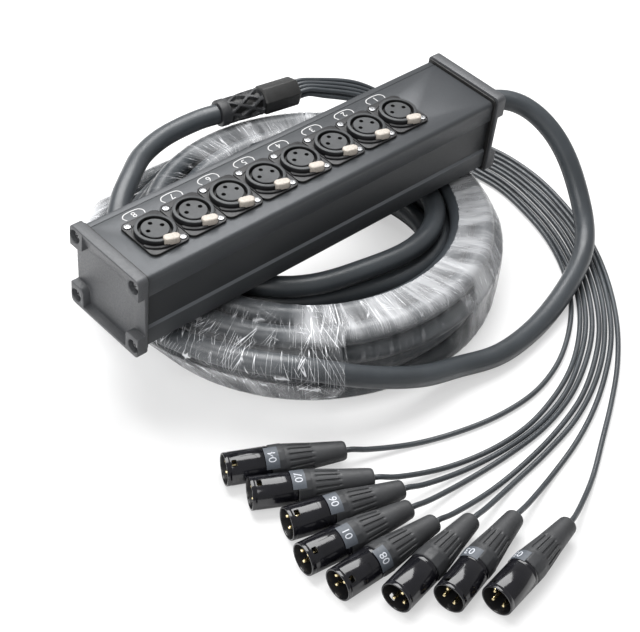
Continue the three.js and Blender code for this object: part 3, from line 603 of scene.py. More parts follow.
# Kinds of finish: roughness; metallic and specular; then the noise (scale, detail, stretch) and its
# range for the colour (darkest, lightest share), the roughness (spread) and the bump (depth, strength)
finish_kinds = {
    "anodising": (
        0.42, (0.25, 0.3), (18, 4, (0.25, 1, 1)), (0.9, 1.12), (2600, 2, (0.12, 1, 1)), 0.07,
        (3800, 3, (0.3, 1, 1)), (0.00004, 0.5)),
    "casting": (0.5, (0.1, 0.5), (35, 4), (0.88, 1.14), (900, 3), 0.08, (1500, 4), (0.00012, 0.6)),
    "satin": (0.38, (0, 0.28), (60, 3), (0.8, 1.3), (700, 3), 0.06, (2500, 3), (0.00004, 0.5)),
    "matte": (0.45, (0, 0.28), (60, 3), (0.8, 1.3), (700, 3), 0.06, (2500, 3), (0.00004, 0.5)),
    "rubber": (0.55, (0, 0.5), (80, 4), (0.8, 1.25), (400, 3), 0.08, (1600, 4), (0.00008, 0.6)),
    "jacket": (0.38, (0, 0.5), (26, 4), (0.82, 1.2), (220, 4), 0.07, (900, 4), (0.00012, 0.5)),
    "gloss": (0.14, (0, 0.5), (90, 3), (0.8, 1.3), (300, 3), 0.04, (420, 2), (0.00003, 0.4)),
    "bright": (0.34, (1, 0.5), (300, 3), (0.8, 1.1), (900, 3), 0.08, (2200, 3), (0.00003, 0.5)),
    "gold": (0.22, (1, 0.5), (400, 2), (0.85, 1.1), (900, 2), 0.06, (1500, 2), (0.00002, 0.4)),
    "cream": (0.5, (0, 0.5), (900, 4), (0.8, 1.12), (700, 3), 0.08, (1300, 3), (0.0002, 0.7)),
    "print": (0.55, (0, 0.5), (1500, 3), (0.82, 1.05), (800, 2), 0.06, (2400, 2), (0.00002, 0.5)),
}


def plain_material(name, colour, roughness, gloss, mottle, shades, wear, spread, grain, relief):
    """A material with mottled colour, uneven roughness and a grained surface."""
    finish = Finish(name, colour, roughness, *gloss)
    finish.vary_colour(finish.noise(*mottle), *shades)
    finish.vary_roughness(finish.noise(*wear), spread)
    finish.bump(finish.noise(*grain), *relief)
    return finish.material


def film_material(colour):
    """Clear film: haze from its own attribute, with thin pale creases, as an opacity mask."""
    finish = Finish("stretch_film", colour, 0.22)
    haze = finish.node("ShaderNodeAttribute", attribute_name="haze").outputs["Fac"]
    folds = finish.node("ShaderNodeAttribute", attribute_name="folds").outputs["Fac"]

    def patches(across, along, angle, detail=0):
        mapping = finish.node("ShaderNodeMapping", vector_type='TEXTURE')
        mapping.inputs["Scale"].default_value = (across / 100, along / 100, 1)
        mapping.inputs["Rotation"].default_value = (0, 0, math.radians(angle))
        finish.link(finish.coordinates.outputs["UV"], mapping.inputs["Vector"])
        return finish.cloud(mapping, 1, detail)

    def creases(across, along, angle, start, width):
        away = finish.math('ABSOLUTE', finish.math('SUBTRACT', patches(across, along, angle), 0.5))
        line = finish.spread(away, 1, 0, 0, width)
        mask = finish.spread(patches(11, 26, angle * 2 + 40, 3), 0, 1, start, start + 0.1)
        return finish.math('MULTIPLY', line, mask)

    lines = creases(2.4, 120, 4, 0.38, 0.019)
    for across, along, angle, start, width in (
            (3.4, 95, 24, 0.46, 0.015), (3.2, 85, -17, 0.46, 0.015), (5, 90, 66, 0.54, 0.012)):
        lines = finish.math('MAXIMUM', lines, creases(across, along, angle, start, width))
    lines = finish.math('MULTIPLY', lines, folds, clamp=True)
    cloud = finish.spread(patches(14, 60, 12, 3), 0.45, 1.5, 0.38, 0.62)
    veil = finish.math('MULTIPLY', haze, cloud)
    alpha = finish.math('ADD', veil, finish.math('MULTIPLY', lines, 0.62), clamp=True)
    finish.link(alpha, finish.shader.inputs["Alpha"])
    finish.vary_colour(lines, 0.85, 1.5)
    finish.bump(patches(4, 40, 5, 3), 0.0008, 0.8)
    return finish.material


materials = {}


def plain_finishes(scene):
    """The kind and colour of each plain material."""
    anodising = scene.snake_box.anodised_colour
    return {
        "satin_anodising": ("anodising", anodising),
        # Darker and lighter copies of the anodising: painted shade on the near side's recessed wall,
        # and a painted highlight along the ledge's edge below it
        "shaded_anodising": ("anodising", [0.55 * share for share in anodising]),
        "ledge_highlight_anodising": ("anodising", [2.6 * share for share in anodising]),
        "coated_casting": ("casting", scene.snake_box.cast_colour),
        "cord_jacket": ("jacket", scene.snake_cords.jacket_colour),
        "black_plastic": ("satin", (0.011, 0.011, 0.012)),
        "insert_plastic": ("matte", (0.034, 0.036, 0.038)),
        "moulded_rubber": ("rubber", (0.026, 0.027, 0.029)),
        "band_plastic": ("rubber", (0.02, 0.021, 0.023)),
        # A near-black rubber: the seals and the six-sided collar are made of it, and elsewhere it is
        # painted shade in hollows, holes, grooves and recesses and on the sides of the socket flanges
        "black_rubber_and_painted_shade": ("rubber", (0.006, 0.006, 0.006)),
        "gloss_black_plating": ("gloss", (0.006, 0.006, 0.008)),
        "bright_plating": ("bright", scene.snake_sockets.screw_colour),
        "pin_plating": ("gold", (0.86, 0.72, 0.42)),
        "cream_latch": ("cream", scene.snake_sockets.latch_colour),
        "white_print": ("print", (0.44, 0.44, 0.44)),
        "label_print": ("print", (0.5, 0.52, 0.56)),
        "label_stock": ("print", (0.07, 0.08, 0.095)),
    }


def finishes(*names):
    """Materials by name, each made the first time that it is asked for."""
    scene = bpy.context.scene
    for name in names:
        if name == "stretch_film" and name not in materials:
            materials[name] = film_material(scene.snake_film.colour)
        elif name not in materials:
            kind, colour = plain_finishes(scene)[name]
            materials[name] = plain_material(name, colour, *finish_kinds[kind])
    return [materials[name] for name in names]


# Coil
def coil_heading(turn):
    return coil_reversal_heading - 2 * math.pi * turn


def ramp(value, start, end):
    """0 at the start and 1 at the end, with a soft rise between them."""
    share = min(1, max(0, (value - start) / (end - start)))
    return share * share * (3 - 2 * share)


def coil_inward(turn):
    """0 on the outermost strand, 1 where the coil turns back from its innermost one."""
    phase = turn % (2 * coil_turns_per_layer)
    return min(phase, 2 * coil_turns_per_layer - phase) / coil_turns_per_layer


def coil_point(turn, cord_radius):
    """The coil's centre line at a number of turns from its foot."""
    heading = coil_heading(turn)
    inward = coil_inward(turn)
    spread = coil_radial_pitch * coil_turns_per_layer + coil_inner_shift
    oval = coil_oval * math.cos(2 * (heading - coil_oval_heading))
    away = abs((heading - inner_loop_heading + math.pi) % (2 * math.pi) - math.pi)
    loosened = ramp(away, inner_loop_reach, 0) * ramp(inward, 0.56, 0.76)
    radius = coil_outer_radius + oval - inward * spread - inner_loop_shift * loosened
    height = cord_radius - 2 * cord_radius * coil_flat_share
    for layer in range(1, coil_layers):
        start = layer * coil_turns_per_layer - coil_climb_turns / 2
        height += coil_layer_pitch * ramp(turn, start, start + coil_climb_turns)
    return Vector((
        coil_centre[0] + inward * coil_inner_shift + radius * math.cos(heading),
        coil_centre[1] + radius * math.sin(heading), height))


def from_coil(point):
    """The way in plan from the coil's centre to a point."""
    return Vector((point.x - coil_centre[0], point.y - coil_centre[1]))


def coil_tangent(heading):
    return Vector((math.sin(heading), -math.cos(heading), 0))


def coil_turn_count():
    less = (coil_top_end_heading - coil_reversal_heading) / (2 * math.pi)
    return coil_layers * coil_turns_per_layer - less


def coil_line(cord_radius):
    """The coil's centre line, with its lead at the foot and at the top."""
    turns = coil_turn_count()
    steps = round(turns * coil_steps_per_turn)
    line = [coil_point(step * turns / steps, cord_radius) for step in range(steps + 1)]
    foot = line[0] - coil_foot_lead * coil_tangent(coil_heading(0))
    top = line[-1] + coil_top_lead * coil_tangent(coil_heading(turns))
    return [foot, *line, top]


def trunk_lines(cord_radius):
    """The centre lines of the coil, of the run to the box and of the run to the fan-out."""
    coil = coil_line(cord_radius)
    foot_run = (coil[1] - coil[0]).normalized()
    top_run = (coil[-1] - coil[-2]).normalized()
    foot_join = coil[0] - cord_gap * foot_run
    foot_join.z = cord_radius + floor_gap
    foot_approach = foot_join - 2 * cord_radius * foot_run
    start = (gland_face + cord_gap, 0, gland_height)
    to_box = evened(smooth_route([start, *trunk_front_route, foot_approach, foot_join], 3), 12)
    top_join = coil[-1] + cord_gap * top_run
    top_leave = top_join + 2 * cord_radius * top_run
    fan_join = fan_out_start - cord_gap * fan_out_run
    fan_approach = fan_join - 2 * cord_radius * fan_out_run
    to_fan_out = smooth_route([top_join, top_leave, *trunk_top_route, fan_approach, fan_join], 3)
    return coil, to_box, to_fan_out


class SNAKE_OT_stage(bpy.types.Operator):
    """Camera, pale floor and soft studio light"""
    bl_idname = "snake.stage"
    bl_label = "Stage"

    def execute(self, context):
        settings = context.scene.snake_stage
        self.add_camera(context)
        self.add_floor(context, settings)
        self.add_lights(context, settings)
        context.scene.view_settings.view_transform = 'Standard'
        return {'FINISHED'}

    def add_camera(self, context):
        data = bpy.data.cameras.new("photo_camera")
        data.lens = camera_lens
        data.sensor_width = camera_sensor
        data.sensor_fit = 'HORIZONTAL'
        data.clip_start = 0.01
        camera = bpy.data.objects.new("photo_camera", data)
        context.scene.collection.objects.link(camera)
        back = camera_right.cross(camera_up)
        turn = Matrix((camera_right, camera_up, back)).transposed().to_4x4()
        camera.matrix_world = Matrix.Translation(from_box(camera_place)) @ turn
        context.scene.camera = camera

    def add_floor(self, context, settings):
        shape = bmesh.new()
        bmesh.ops.create_grid(shape, x_segments=8, y_segments=8, size=settings.floor_size / 2)
        moved(shape, (0, 0, -0.0002))
        mesh = bpy.data.meshes.new("floor")
        shape.to_mesh(mesh)
        shape.free()
        mesh.materials.append(self.floor_material())
        floor = bpy.data.objects.new("floor", mesh)
        context.scene.collection.objects.link(floor)

    def floor_material(self):
        """A pale floor: seen straight on, a part of its white is its own, so shadows stay soft."""
        finish = Finish("pale_floor", (0.8, 0.8, 0.8), 0.7, specular=0.2)
        finish.vary_colour(finish.noise(3, 3), 0.99, 1.01)
        glow = finish.node("ShaderNodeEmission")
        glow.inputs["Color"].default_value = (1, 1, 1, 1)
        glow.inputs["Strength"].default_value = 1.0
        path = finish.node("ShaderNodeLightPath")
        seen = finish.math('MULTIPLY', path.outputs["Is Camera Ray"], 0.5)
        mix = finish.node("ShaderNodeMixShader")
        finish.link(seen, mix.inputs["Fac"])
        finish.link(finish.shader.outputs[0], mix.inputs[1])
        finish.link(glow.outputs[0], mix.inputs[2])
        finish.link(mix.outputs[0], finish.tree.nodes["Material Output"].inputs["Surface"])
        return finish.material

    def add_lights(self, context, settings):
        world = bpy.data.worlds.new("studio")
        world.use_nodes = True
        tree = world.node_tree
        background = tree.nodes["Background"]
        background.inputs["Color"].default_value = (1, 1, 1, 1)
        path = tree.nodes.new("ShaderNodeLightPath")
        seen = tree.nodes.new("ShaderNodeMath")
        seen.operation = 'MAXIMUM'
        tree.links.new(path.outputs["Is Camera Ray"], seen.inputs[0])
        tree.links.new(path.outputs["Is Transmission Ray"], seen.inputs[1])
        strength = tree.nodes.new("ShaderNodeMapRange")
        strength.inputs["To Min"].default_value = settings.fill_strength
        strength.inputs["To Max"].default_value = 1.0
        tree.links.new(seen.outputs[0], strength.inputs["Value"])
        tree.links.new(strength.outputs["Result"], background.inputs["Strength"])
        context.scene.world = world
        lamps = [("key_light", (180, 430, 1100), (20, 0, 60), 1.1, settings.key_power),
                 ("side_light", (-900, -200, 700), (0, 0, 60), 0.7, settings.key_power * 0.2)]
        for name, place, target, size, power in lamps:
            data = bpy.data.lights.new(name, 'AREA')
            data.shape = 'SQUARE'
            data.size = size
            data.energy = power
            lamp = bpy.data.objects.new(name, data)
            context.scene.collection.objects.link(lamp)
            direction = from_box(target) - from_box(place)
            turn = direction.to_track_quat('-Z', 'Y').to_matrix().to_4x4()
            lamp.matrix_world = Matrix.Translation(from_box(place)) @ turn


class SNAKE_OT_multicore(bpy.types.Operator):
    """The multicore: its coil, its run to the box and its run to the fan-out"""
    bl_idname = "snake.multicore"
    bl_label = "Multicore"

    def execute(self, context):
        diameter = context.scene.snake_cords.trunk_diameter
        coil, to_box, to_fan_out = trunk_lines(diameter / 2 / MM)
        jacket = finishes("cord_jacket")[0]
        piece, path = cord_piece("coil_pile", coil, diameter, jacket, ["multicore_coil"])
        piece, path = cord_piece("box_run", to_box, diameter, jacket, ["multicore_to_box"], 28)
        piece, path = cord_piece(
            "fan_out_run", to_fan_out, diameter, jacket, ["multicore_to_fan_out"], 28)
        boot = [add_relief(), add_collar()]
        return {'FINISHED'}


# Fan-out boot: a cuff, a lattice relief and a six-sided collar
relief_length = 31
relief_neck_radius = 7.9
relief_radius = 9
collar_across_corners = 20


def fan_out_matrix(along=0):
    """Puts a shape made along +Z on the boot's axis, some way from its start."""
    turn = Vector((0, 0, 1)).rotation_difference(fan_out_run).to_matrix().to_4x4()
    return Matrix.Translation(from_box(fan_out_start + along * fan_out_run)) @ turn


def narrowed(point, share):
    """Scales a point's distance from the Z axis."""
    point.co.x *= share
    point.co.y *= share


def add_relief():
    """The strain relief: crossing ribs with diamond pockets between them, behind a plain cuff."""
    cuff = 6.5
    rows = 60
    pockets_round = 6
    pockets_along = 1.6
    pocket_depth = 2.2
    rim = relief_neck_radius + 0.5
    lattice_length = relief_length - cuff
    profile = [(0, 0), (6.6, 0), (rim, 0.3), (rim + 0.4, 1.2), (rim + 0.4, cuff - 0.8), (rim, cuff)]
    for row in range(1, rows + 1):
        share = row / rows
        profile.append((rim + (relief_radius - rim) * share, cuff + (lattice_length - 0.4) * share))
    shape = turned([*profile, (relief_radius - 0.5, relief_length), (0, relief_length)], 96)
    for point in shape.verts:
        share = (point.co.z - cuff) / lattice_length
        radius = Vector(point.co[:2]).length
        if not 0.02 < share < 0.98 or radius < 5:
            continue
        round_phase = math.atan2(point.co.y, point.co.x) * pockets_round / 2
        along_phase = share * pockets_along * math.pi
        from_ribs = min(abs(math.sin(round_phase + along_phase)),
                        abs(math.sin(round_phase - along_phase)))
        depth = pocket_depth * ramp(from_ribs, 0.36, 0.52)
        narrowed(point, 1 - depth / radius)

    def in_pocket(face):
        share = (face_height(face) - cuff) / lattice_length
        surface = relief_neck_radius + (relief_radius - relief_neck_radius) * share
        return 0.02 < share < 0.98 and face_radius(face) < surface - 0.7 * pocket_depth

    # The pockets take the near-black rubber, painted shade that makes them darker than the ribs
    painted(painted(shape, 0), 1, in_pocket)
    return add_piece(
        "fan_out_lattice", placed(shape, fan_out_matrix()),
        finishes("band_plastic", "black_rubber_and_painted_shade"), sharp_angle=50,
        replaces=["fan_out_relief"])


def add_collar():
    """The six-sided collar that the tails leave."""
    radius = collar_across_corners / 2
    length = (fan_out_end - fan_out_start).length - relief_length - cord_gap
    shape = made_whole(turned([
        (0, 0), (radius - 1.5, 0), (radius, 1.5), (radius, length - 1.5), (radius - 1.5, length),
        (0, length)], 6))
    bevelled(shape, shape.edges[:], 0.5)
    return add_piece(
        "fan_out_block", placed(shape, fan_out_matrix(relief_length + cord_gap)),
        finishes("black_rubber_and_painted_shade"), replaces=["fan_out_collar"])


class SNAKE_OT_plugs(bpy.types.Operator):
    """The eight tails with their plugs, boots and labels"""
    bl_idname = "snake.plugs"
    bl_label = "Tails and plugs"

    def execute(self, context):
        settings = context.scene.snake_plugs
        diameter = context.scene.snake_cords.tail_diameter
        jacket = finishes("cord_jacket")[0]
        shapes = [plug_shell_shape(settings), plug_pin_shape(), plug_boot_shape(settings)]
        for index, (key, place) in enumerate(plug_places.items()):
            number = f"{place['label']:02d}"
            front = Vector((*place["front"], settings.band_radius / MM + floor_gap))
            pieces = self.add_plug(number, place, front, shapes, settings)
            line = self.tail_line(index, tail_routes[key], place, front, diameter / MM)
            tail, path = cord_piece(
                f"tail_lead_{number}", line, diameter, jacket, [f"tail_{number}"], 14)
        for shape in shapes:
            shape.free()
        return {'FINISHED'}

    def add_plug(self, number, place, front, shapes, settings):
        """The four pieces of a plug that lies on the floor."""
        shell, pins, boot = shapes
        matrix = (
            Matrix.Translation(from_box(front))
            @ Matrix.Rotation(math.radians(place["heading"]), 4, 'Z')
            @ Matrix.Rotation(math.pi / 2, 4, 'Y')
            @ Matrix.Rotation(math.radians(-place["roll"]), 4, 'Z'))
        return [
            add_piece(
                f"plug_housing_{number}", placed(shell.copy(), matrix),
                finishes("gloss_black_plating", "black_plastic", "pin_plating"),
                replaces=[f"plug_shell_{number}"]),
            add_piece(
                f"plug_pins_{number}", placed(pins.copy(), matrix),
                finishes("pin_plating")),
            add_piece(
                f"plug_sleeve_{number}", placed(boot.copy(), matrix),
                finishes("moulded_rubber", "black_rubber_and_painted_shade", "band_plastic"),
                replaces=[f"plug_boot_{number}"]),
            add_piece(
                f"plug_label_{number}",
                placed(label_shape(number, settings, place["digits"]), matrix),
                finishes("label_stock", "label_print")),
        ]

    def tail_line(self, index, route, place, front, diameter):
        """A tail's centre line, from its place in two rows of four to the inside of its plug."""
        across = Vector((0, 0, 1)).cross(fan_out_run).normalized()
        column = index // 2 - 1.5
        row = index % 2 - 0.5
        start = fan_out_end + cord_gap * fan_out_run + across * column * tail_column_pitch
        start.z += row * tail_row_pitch
        start_run = start + 2 * diameter * fan_out_run
        turn = math.radians(place["heading"])
        plug_run = Vector((math.cos(turn), math.sin(turn), 0))
        end = front + plug_run * (plug_length + cord_gap)
        end_run = end + plug_run * diameter
        inside = front + plug_run * (plug_length - tail_inside_boot)
        middle = [(*point, tail_floor_height)[:3] for point in route]
        return [*smooth_route([start, start_run, *middle, end_run, end], 3), inside]


# A plug is made along +Z from its mouth, its label towards -X
plug_shell_length = 25
plug_cavity_radius = 8.2
plug_cavity_depth = 17
plug_segments = 64


def plug_shell_shape(settings):
    """The glossy shell with its rolled lip, catch window and raised pad."""
    radius = settings.shell_radius / MM
    waist = radius - 0.12
    back = radius - 0.15
    profile = [
        (0, plug_cavity_depth), (plug_cavity_radius, plug_cavity_depth), (plug_cavity_radius, 0.6),
        (plug_cavity_radius + 0.2, 0.15), (plug_cavity_radius + 0.5, 0), (radius - 0.3, 0),
        (radius - 0.08, 0.12), (radius, 0.4), (radius, 2.2), (waist, 2.4), (waist, 2.8),
        (radius, 3.0), (radius, 22.2), (back, 22.4), (back, 22.8), (radius, 23.0),
        (radius, plug_shell_length - 0.5), (back, plug_shell_length - 0.15),
        (radius - 0.5, plug_shell_length), (0, plug_shell_length)]
    shape = turned(profile, plug_segments)
    painted(shape, 0)
    painted(shape, 1, lambda face: 0.5 < face_height(face) < plug_cavity_depth + 0.01
            and face_radius(face) < plug_cavity_radius + 0.01)
    window = spun(rounded_plate(3, 3.8, -radius - 2, -6.2, 0.7), math.pi / 2, 'Y')
    shape = carved(shape, painted(moved(window, (0, 0, 4.6)), 1))
    pad = spun(rounded_plate(9.5, 7, -radius - 2, -radius + 1.2, 1.8), math.pi / 2, 'Y')
    core = turned([(0, 5), (radius - 0.16, 5), (radius - 0.16, 20), (0, 20)], plug_segments)
    return carved(shape, carved(painted(moved(pad, (0, 0, 12.5)), 0), painted(core, 0)))


def plug_pin_shape():
    """Three round-tipped pins on the floor of the cavity."""
    root = plug_cavity_depth + 0.3
    profile = [(0, 1.5), (0.7, 1.7), (1.05, 2.2), (1.2, 3), (1.2, root), (0, root)]
    return joined([moved(turned(profile, 20), (*place, 0)) for place in pin_places])


def plug_boot_shape(settings):
    """The faceted band, the grooved boot and its smooth tip."""
    band = settings.band_radius / MM
    start = plug_shell_length + cord_gap
    bore = 1.75
    band_end = 33
    grooved_from, grooved_to = 35.0, 50.5
    groove_depth = 0.75
    facets = 12
    facet_share = 0.7
    stations = [(25.3, band - 0.5), (25.6, band - 0.12), (26, band), (32.2, band),
                (32.8, band - 0.15), (33.1, 9.25), (34, 9.15)]
    known = [(33, 9.3), (41, 8.4), (50, 7.25), (64, 5.9), (67.5, 5.5)]
    steps = 44
    for step in range(1, steps + 1):
        place = 34 + step * (67.5 - 34) / steps
        for (low, r0), (high, r1) in zip(known, known[1:]):
            if low <= place <= high:
                stations.append((place, r0 + (r1 - r0) * (place - low) / (high - low)))
                break
    stations += [(68.3, 5.2), (68.8, 4.8), (69, 4.2)]
    profile = [(bore, start), *[(radius, height) for height, radius in stations], (bore, 69)]
    shape = turned(profile, settings.boot_grooves * 8)
    bmesh.ops.bridge_loops(shape, edges=[edge for edge in shape.edges if edge.is_boundary])
    bmesh.ops.recalc_face_normals(shape, faces=shape.faces)
    for point in shape.verts:
        radius = Vector(point.co[:2]).length
        heading = math.atan2(point.co.y, point.co.x)
        if radius > band - 0.6 and point.co.z < band_end:
            turn = (heading + math.pi / facets) % (2 * math.pi / facets) - math.pi / facets
            flat = math.cos(math.pi / facets) / math.cos(turn)
            narrowed(point, 1 - facet_share * (1 - flat))
        elif grooved_from < point.co.z < grooved_to and radius > 3:
            wave = 0.5 + 0.5 * math.cos(heading * settings.boot_grooves)
            depth = groove_depth * ramp(wave, 0.45, 0.85)
            depth *= ramp(point.co.z, grooved_from, grooved_from + 1.2)
            depth *= ramp(point.co.z, grooved_to, grooved_to - 2.5)
            narrowed(point, 1 - depth / radius)
    return painted(painted(shape, 0), 2, lambda face: face_height(face) < band_end)


def label_shape(number, settings, middle):
    """A wrapped label with two digits, their tops towards the mouth."""
    radius = settings.band_radius / MM + 0.02
    patch = bmesh.new()
    bmesh.ops.create_grid(patch, x_segments=20, y_segments=4, size=0.5)
    bmesh.ops.scale(patch, vec=(13.5, 7.6, 1), verts=patch.verts)
    thickened(patch, 0.08)
    digits = moved(text_shape(number, 4.4, 0.03), (0, 0, 0.11))
    shape = joined([painted(patch, 0), painted(digits, 1)])
    for point in shape.verts:
        angle = point.co.x / radius
        distance = radius + point.co.z
        point.co = Vector((-distance * math.cos(angle), distance * math.sin(angle),
                           middle - point.co.y))
    bmesh.ops.recalc_face_normals(shape, faces=shape.faces)
    return shape


class SNAKE_OT_case(bpy.types.Operator):
    """The extruded case, its gaskets, end caps, cap screws and gland"""
    bl_idname = "snake.case"
    bl_label = "Case"

    def execute(self, context):
        width = context.scene.snake_box.edge_softness
        softened_copy("deck", "deck_lid", width, finishes("satin_anodising"))
        # On the trough's near side, zone 1 is painted shade on the recessed wall and zone 2 is a
        # painted highlight along the ledge's edge
        softened_copy(
            "trough", "base_trough", width,
            finishes("satin_anodising", "shaded_anodising", "ledge_highlight_anodising"),
            zones=((1, 70.5, 92), (2, 68.7, 70.4)))
        for side in ("left", "right"):
            softened_copy(
                f"seal_{side}", f"gasket_{side}", width / 4, finishes("black_rubber_and_painted_shade"))
            softened_copy(
                f"cap_{side}", f"end_cap_{side}", width * 1.2, finishes("coated_casting"))
            for index in range(1, 5):
                self.add_screw(side, index)
        softened_copy("gland", "cable_gland", width, finishes("black_plastic"), 25)
        return {'FINISHED'}

    def add_screw(self, side, index):
        """A pan-head screw with a cross recess, on the place of its plain solid."""
        node = f"cap_screw_{side}_{index}"
        low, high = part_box(node)
        middle = (low + high) / 2
        outwards = 1 if side == "right" else -1
        tip = high.x if side == "right" else low.x
        shape = turned([
            (0, -15), (1.3, -15), (1.3, -2), (2.8, -2), (2.8, -1.2), (2.6, -0.7), (2.1, -0.3),
            (1.2, -0.05), (0, 0)], 40)
        shape = cross_cut(painted(shape, 0), 1.5, 0.3, -0.9, 1, 0.4)
        matrix = (Matrix.Translation((tip, middle.y, middle.z))
                  @ Matrix.Rotation(outwards * math.pi / 2, 4, 'Y'))
        add_piece(f"pan_screw_{side}_{index}", placed(shape, matrix),
                  finishes("bright_plating", "black_rubber_and_painted_shade"), replaces=[node])


def socket_matrix(index):
    x = socket_row[0] + (index - (socket_count - 1) / 2) * socket_pitch
    return Matrix.Translation(from_box((x, socket_row[1], deck_top)))


class SNAKE_OT_sockets(bpy.types.Operator):
    """The eight panel sockets with their latch tabs and flange screws"""
    bl_idname = "snake.sockets"
    bl_label = "Sockets"

    def execute(self, context):
        settings = context.scene.snake_sockets
        housing = socket_shape(settings)
        latch = latch_shape()
        screw = flange_screw_shape()
        for index in range(socket_count):
            channel = socket_count - index
            matrix = socket_matrix(index)
            add_piece(
                f"socket_housing_{channel}", placed(housing.copy(), matrix),
                finishes("insert_plastic", "black_rubber_and_painted_shade", "black_plastic"),
                replaces=[f"socket_{channel}"])
            add_piece(
                f"latch_key_{channel}", placed(latch.copy(), matrix), finishes("cream_latch"),
                body=f"latch_{channel}", replaces=[f"latch_tab_{channel}"])
            for side, (x, y) in flange_screw_places.items():
                place = matrix @ Matrix.Translation((x * MM, y * MM, 0))
                add_piece(
                    f"flange_screw_{channel}_{side}", placed(screw.copy(), place),
                    finishes("bright_plating", "black_rubber_and_painted_shade"))
        for shape in (housing, latch, screw):
            shape.free()
        return {'FINISHED'}


flange_low = 0.3
flange_top = 1.6
step_top = 2.6
collar_top = 4.8
latch_foot = 1.9
latch_top = 5.8
stem_place = (2.23, -10.36)


def latch_place(shape):
    """Turns a shape made round the origin to the latch's place beside the collar."""
    return moved(spun(shape, latch_turn), (*latch_centre, 0))


def clipped(shape, place, normal):
    """Takes away what lies on the normal's side of a plane and closes the cut."""
    cut = bmesh.ops.bisect_plane(
        shape, geom=shape.verts[:] + shape.edges[:] + shape.faces[:], plane_co=place,
        plane_no=normal, clear_outer=True)["geom_cut"]
    rim = [item for item in cut if isinstance(item, bmesh.types.BMEdge)]
    bmesh.ops.contextual_create(shape, geom=rim)
    return shape


def socket_shape(settings):
    """Flange, crescent step, collar with its groove, and the insert with three holes."""
    width = settings.flange_width / MM
    length = settings.flange_length / MM
    collar = settings.collar_radius / MM
    step_radius = 14.4
    collar_bore = 9.6
    insert_radius = 7.9
    insert_top = collar_top - 0.4
    deep = -18
    clear = 9
    face_top = flange_top - 0.1
    # Index 1, the near-black rubber, is painted shade: on the flange's sides, in the groove round the
    # collar, in the notch under the latch tab, on the insert's sides and on the walls of the screw
    # holes, the bore, the pin holes and the latch well
    flange = painted(rounded_plate(width, length, flange_low, flange_top, 4, 0.25), 1)
    painted(flange, 2, lambda face: face_height(face) > face_top)
    step = painted(turned([
        (0, 0.4), (step_radius, 0.4), (step_radius, step_top - 0.3), (step_radius - 0.3, step_top),
        (0, step_top)], 72), 2)
    for place, normal in (((-width / 2 + 0.5, 0, 0), (-1, 0, 0)), ((-0.8, 0, 0), (1, 0, 0)),
                          ((0, -5.5, 0), (0, 1, 0))):
        clipped(step, place, normal)
    for at in flange_screw_places.values():
        flange = carved(flange, painted(rod(2.55, flange_top - 0.6, clear, at), 1))
    # The groove round the collar, painted near-black as shade
    flange = carved(flange, painted(rod(collar + 1.1, flange_top - 0.7, clear, segments=72), 1))
    step = carved(step, painted(rod(collar + 1.1, flange_top - 3, clear, segments=72), 1))
    # A shallow notch under the latch tab, its floor and walls painted near-black as the tab's shadow
    shade = block((-0.9, -14.9, flange_top - 0.6), (3.2, -9, clear))
    flange = carved(flange, painted(shade, 1))
    ring = painted(turned([
        (collar_bore, -14), (collar_bore, collar_top - 0.25), (collar_bore + 0.2, collar_top),
        (collar - 0.6, collar_top), (collar - 0.15, collar_top - 0.2), (collar, collar_top - 0.7),
        (collar, deep), (collar_bore, deep), (collar_bore, -14)], 72), 0)
    painted(ring, 2, lambda face: face_radius(face) > collar - 0.05)
    painted(ring, 1, lambda face: face_radius(face) < collar_bore + 0.05)
    insert = painted(turned([
        (0, -14), (collar_bore, -14), (collar_bore, -13), (insert_radius, -13),
        (insert_radius, insert_top - 0.3), (insert_radius - 0.3, insert_top), (0, insert_top)], 64), 0)
    painted(insert, 1, lambda face: face_height(face) < insert_top - 0.35)
    for place in pin_places:
        insert = carved(insert, painted(rod(1.3, -4, clear, place), 1))
    flange = carved(flange, latch_well(latch_gap))
    ring = carved(ring, latch_well(latch_gap + 0.01))
    ring = carved(ring, painted(rod(0.9, -9, 3, stem_place, 20), 1))
    return joined([flange, step, ring, insert])


def latch_well(gap):
    """The cutter of the well that a latch tab slides in."""
    corner = latch_width / 2 + gap - 0.05
    well = rounded_plate(latch_length + 2 * gap, latch_width + 2 * gap, 0, 9, corner)
    return painted(latch_place(well), 1)


def latch_shape():
    """The cream tab with a crowned top, on its stem."""
    tab = rounded_plate(
        latch_length, latch_width, latch_foot, latch_top, latch_width / 2 - 0.05, 0.9)
    stem = rod(0.7, -4.1, 3, stem_place, 16)
    return joined([latch_place(tab), stem])


def cross_cut(shape, length, width, low, high, turn):
    """Carves a cross recess in a screw's head; its walls take the screw's second material, near-black
    painted shade.
    """
    for angle in (turn, turn + math.pi / 2):
        arm = spun(block((-length, -width, low), (length, width, high)), angle)
        shape = carved(shape, painted(arm, 1))
    return shape


def flange_screw_shape():
    """A bright screw with a ring and a cross recess in its top."""
    shape = turned([
        (0, -3), (1.2, -3), (1.2, 0.5), (2.1, 1.05), (2.1, 1.75), (1.9, 2.05), (1.3, 2.15),
        (1.15, 1.95), (0.95, 1.95), (0.85, 2.15), (0, 2.15)], 36)
    return cross_cut(painted(shape, 0), 0.6, 0.13, 1.7, 4, 0.5)


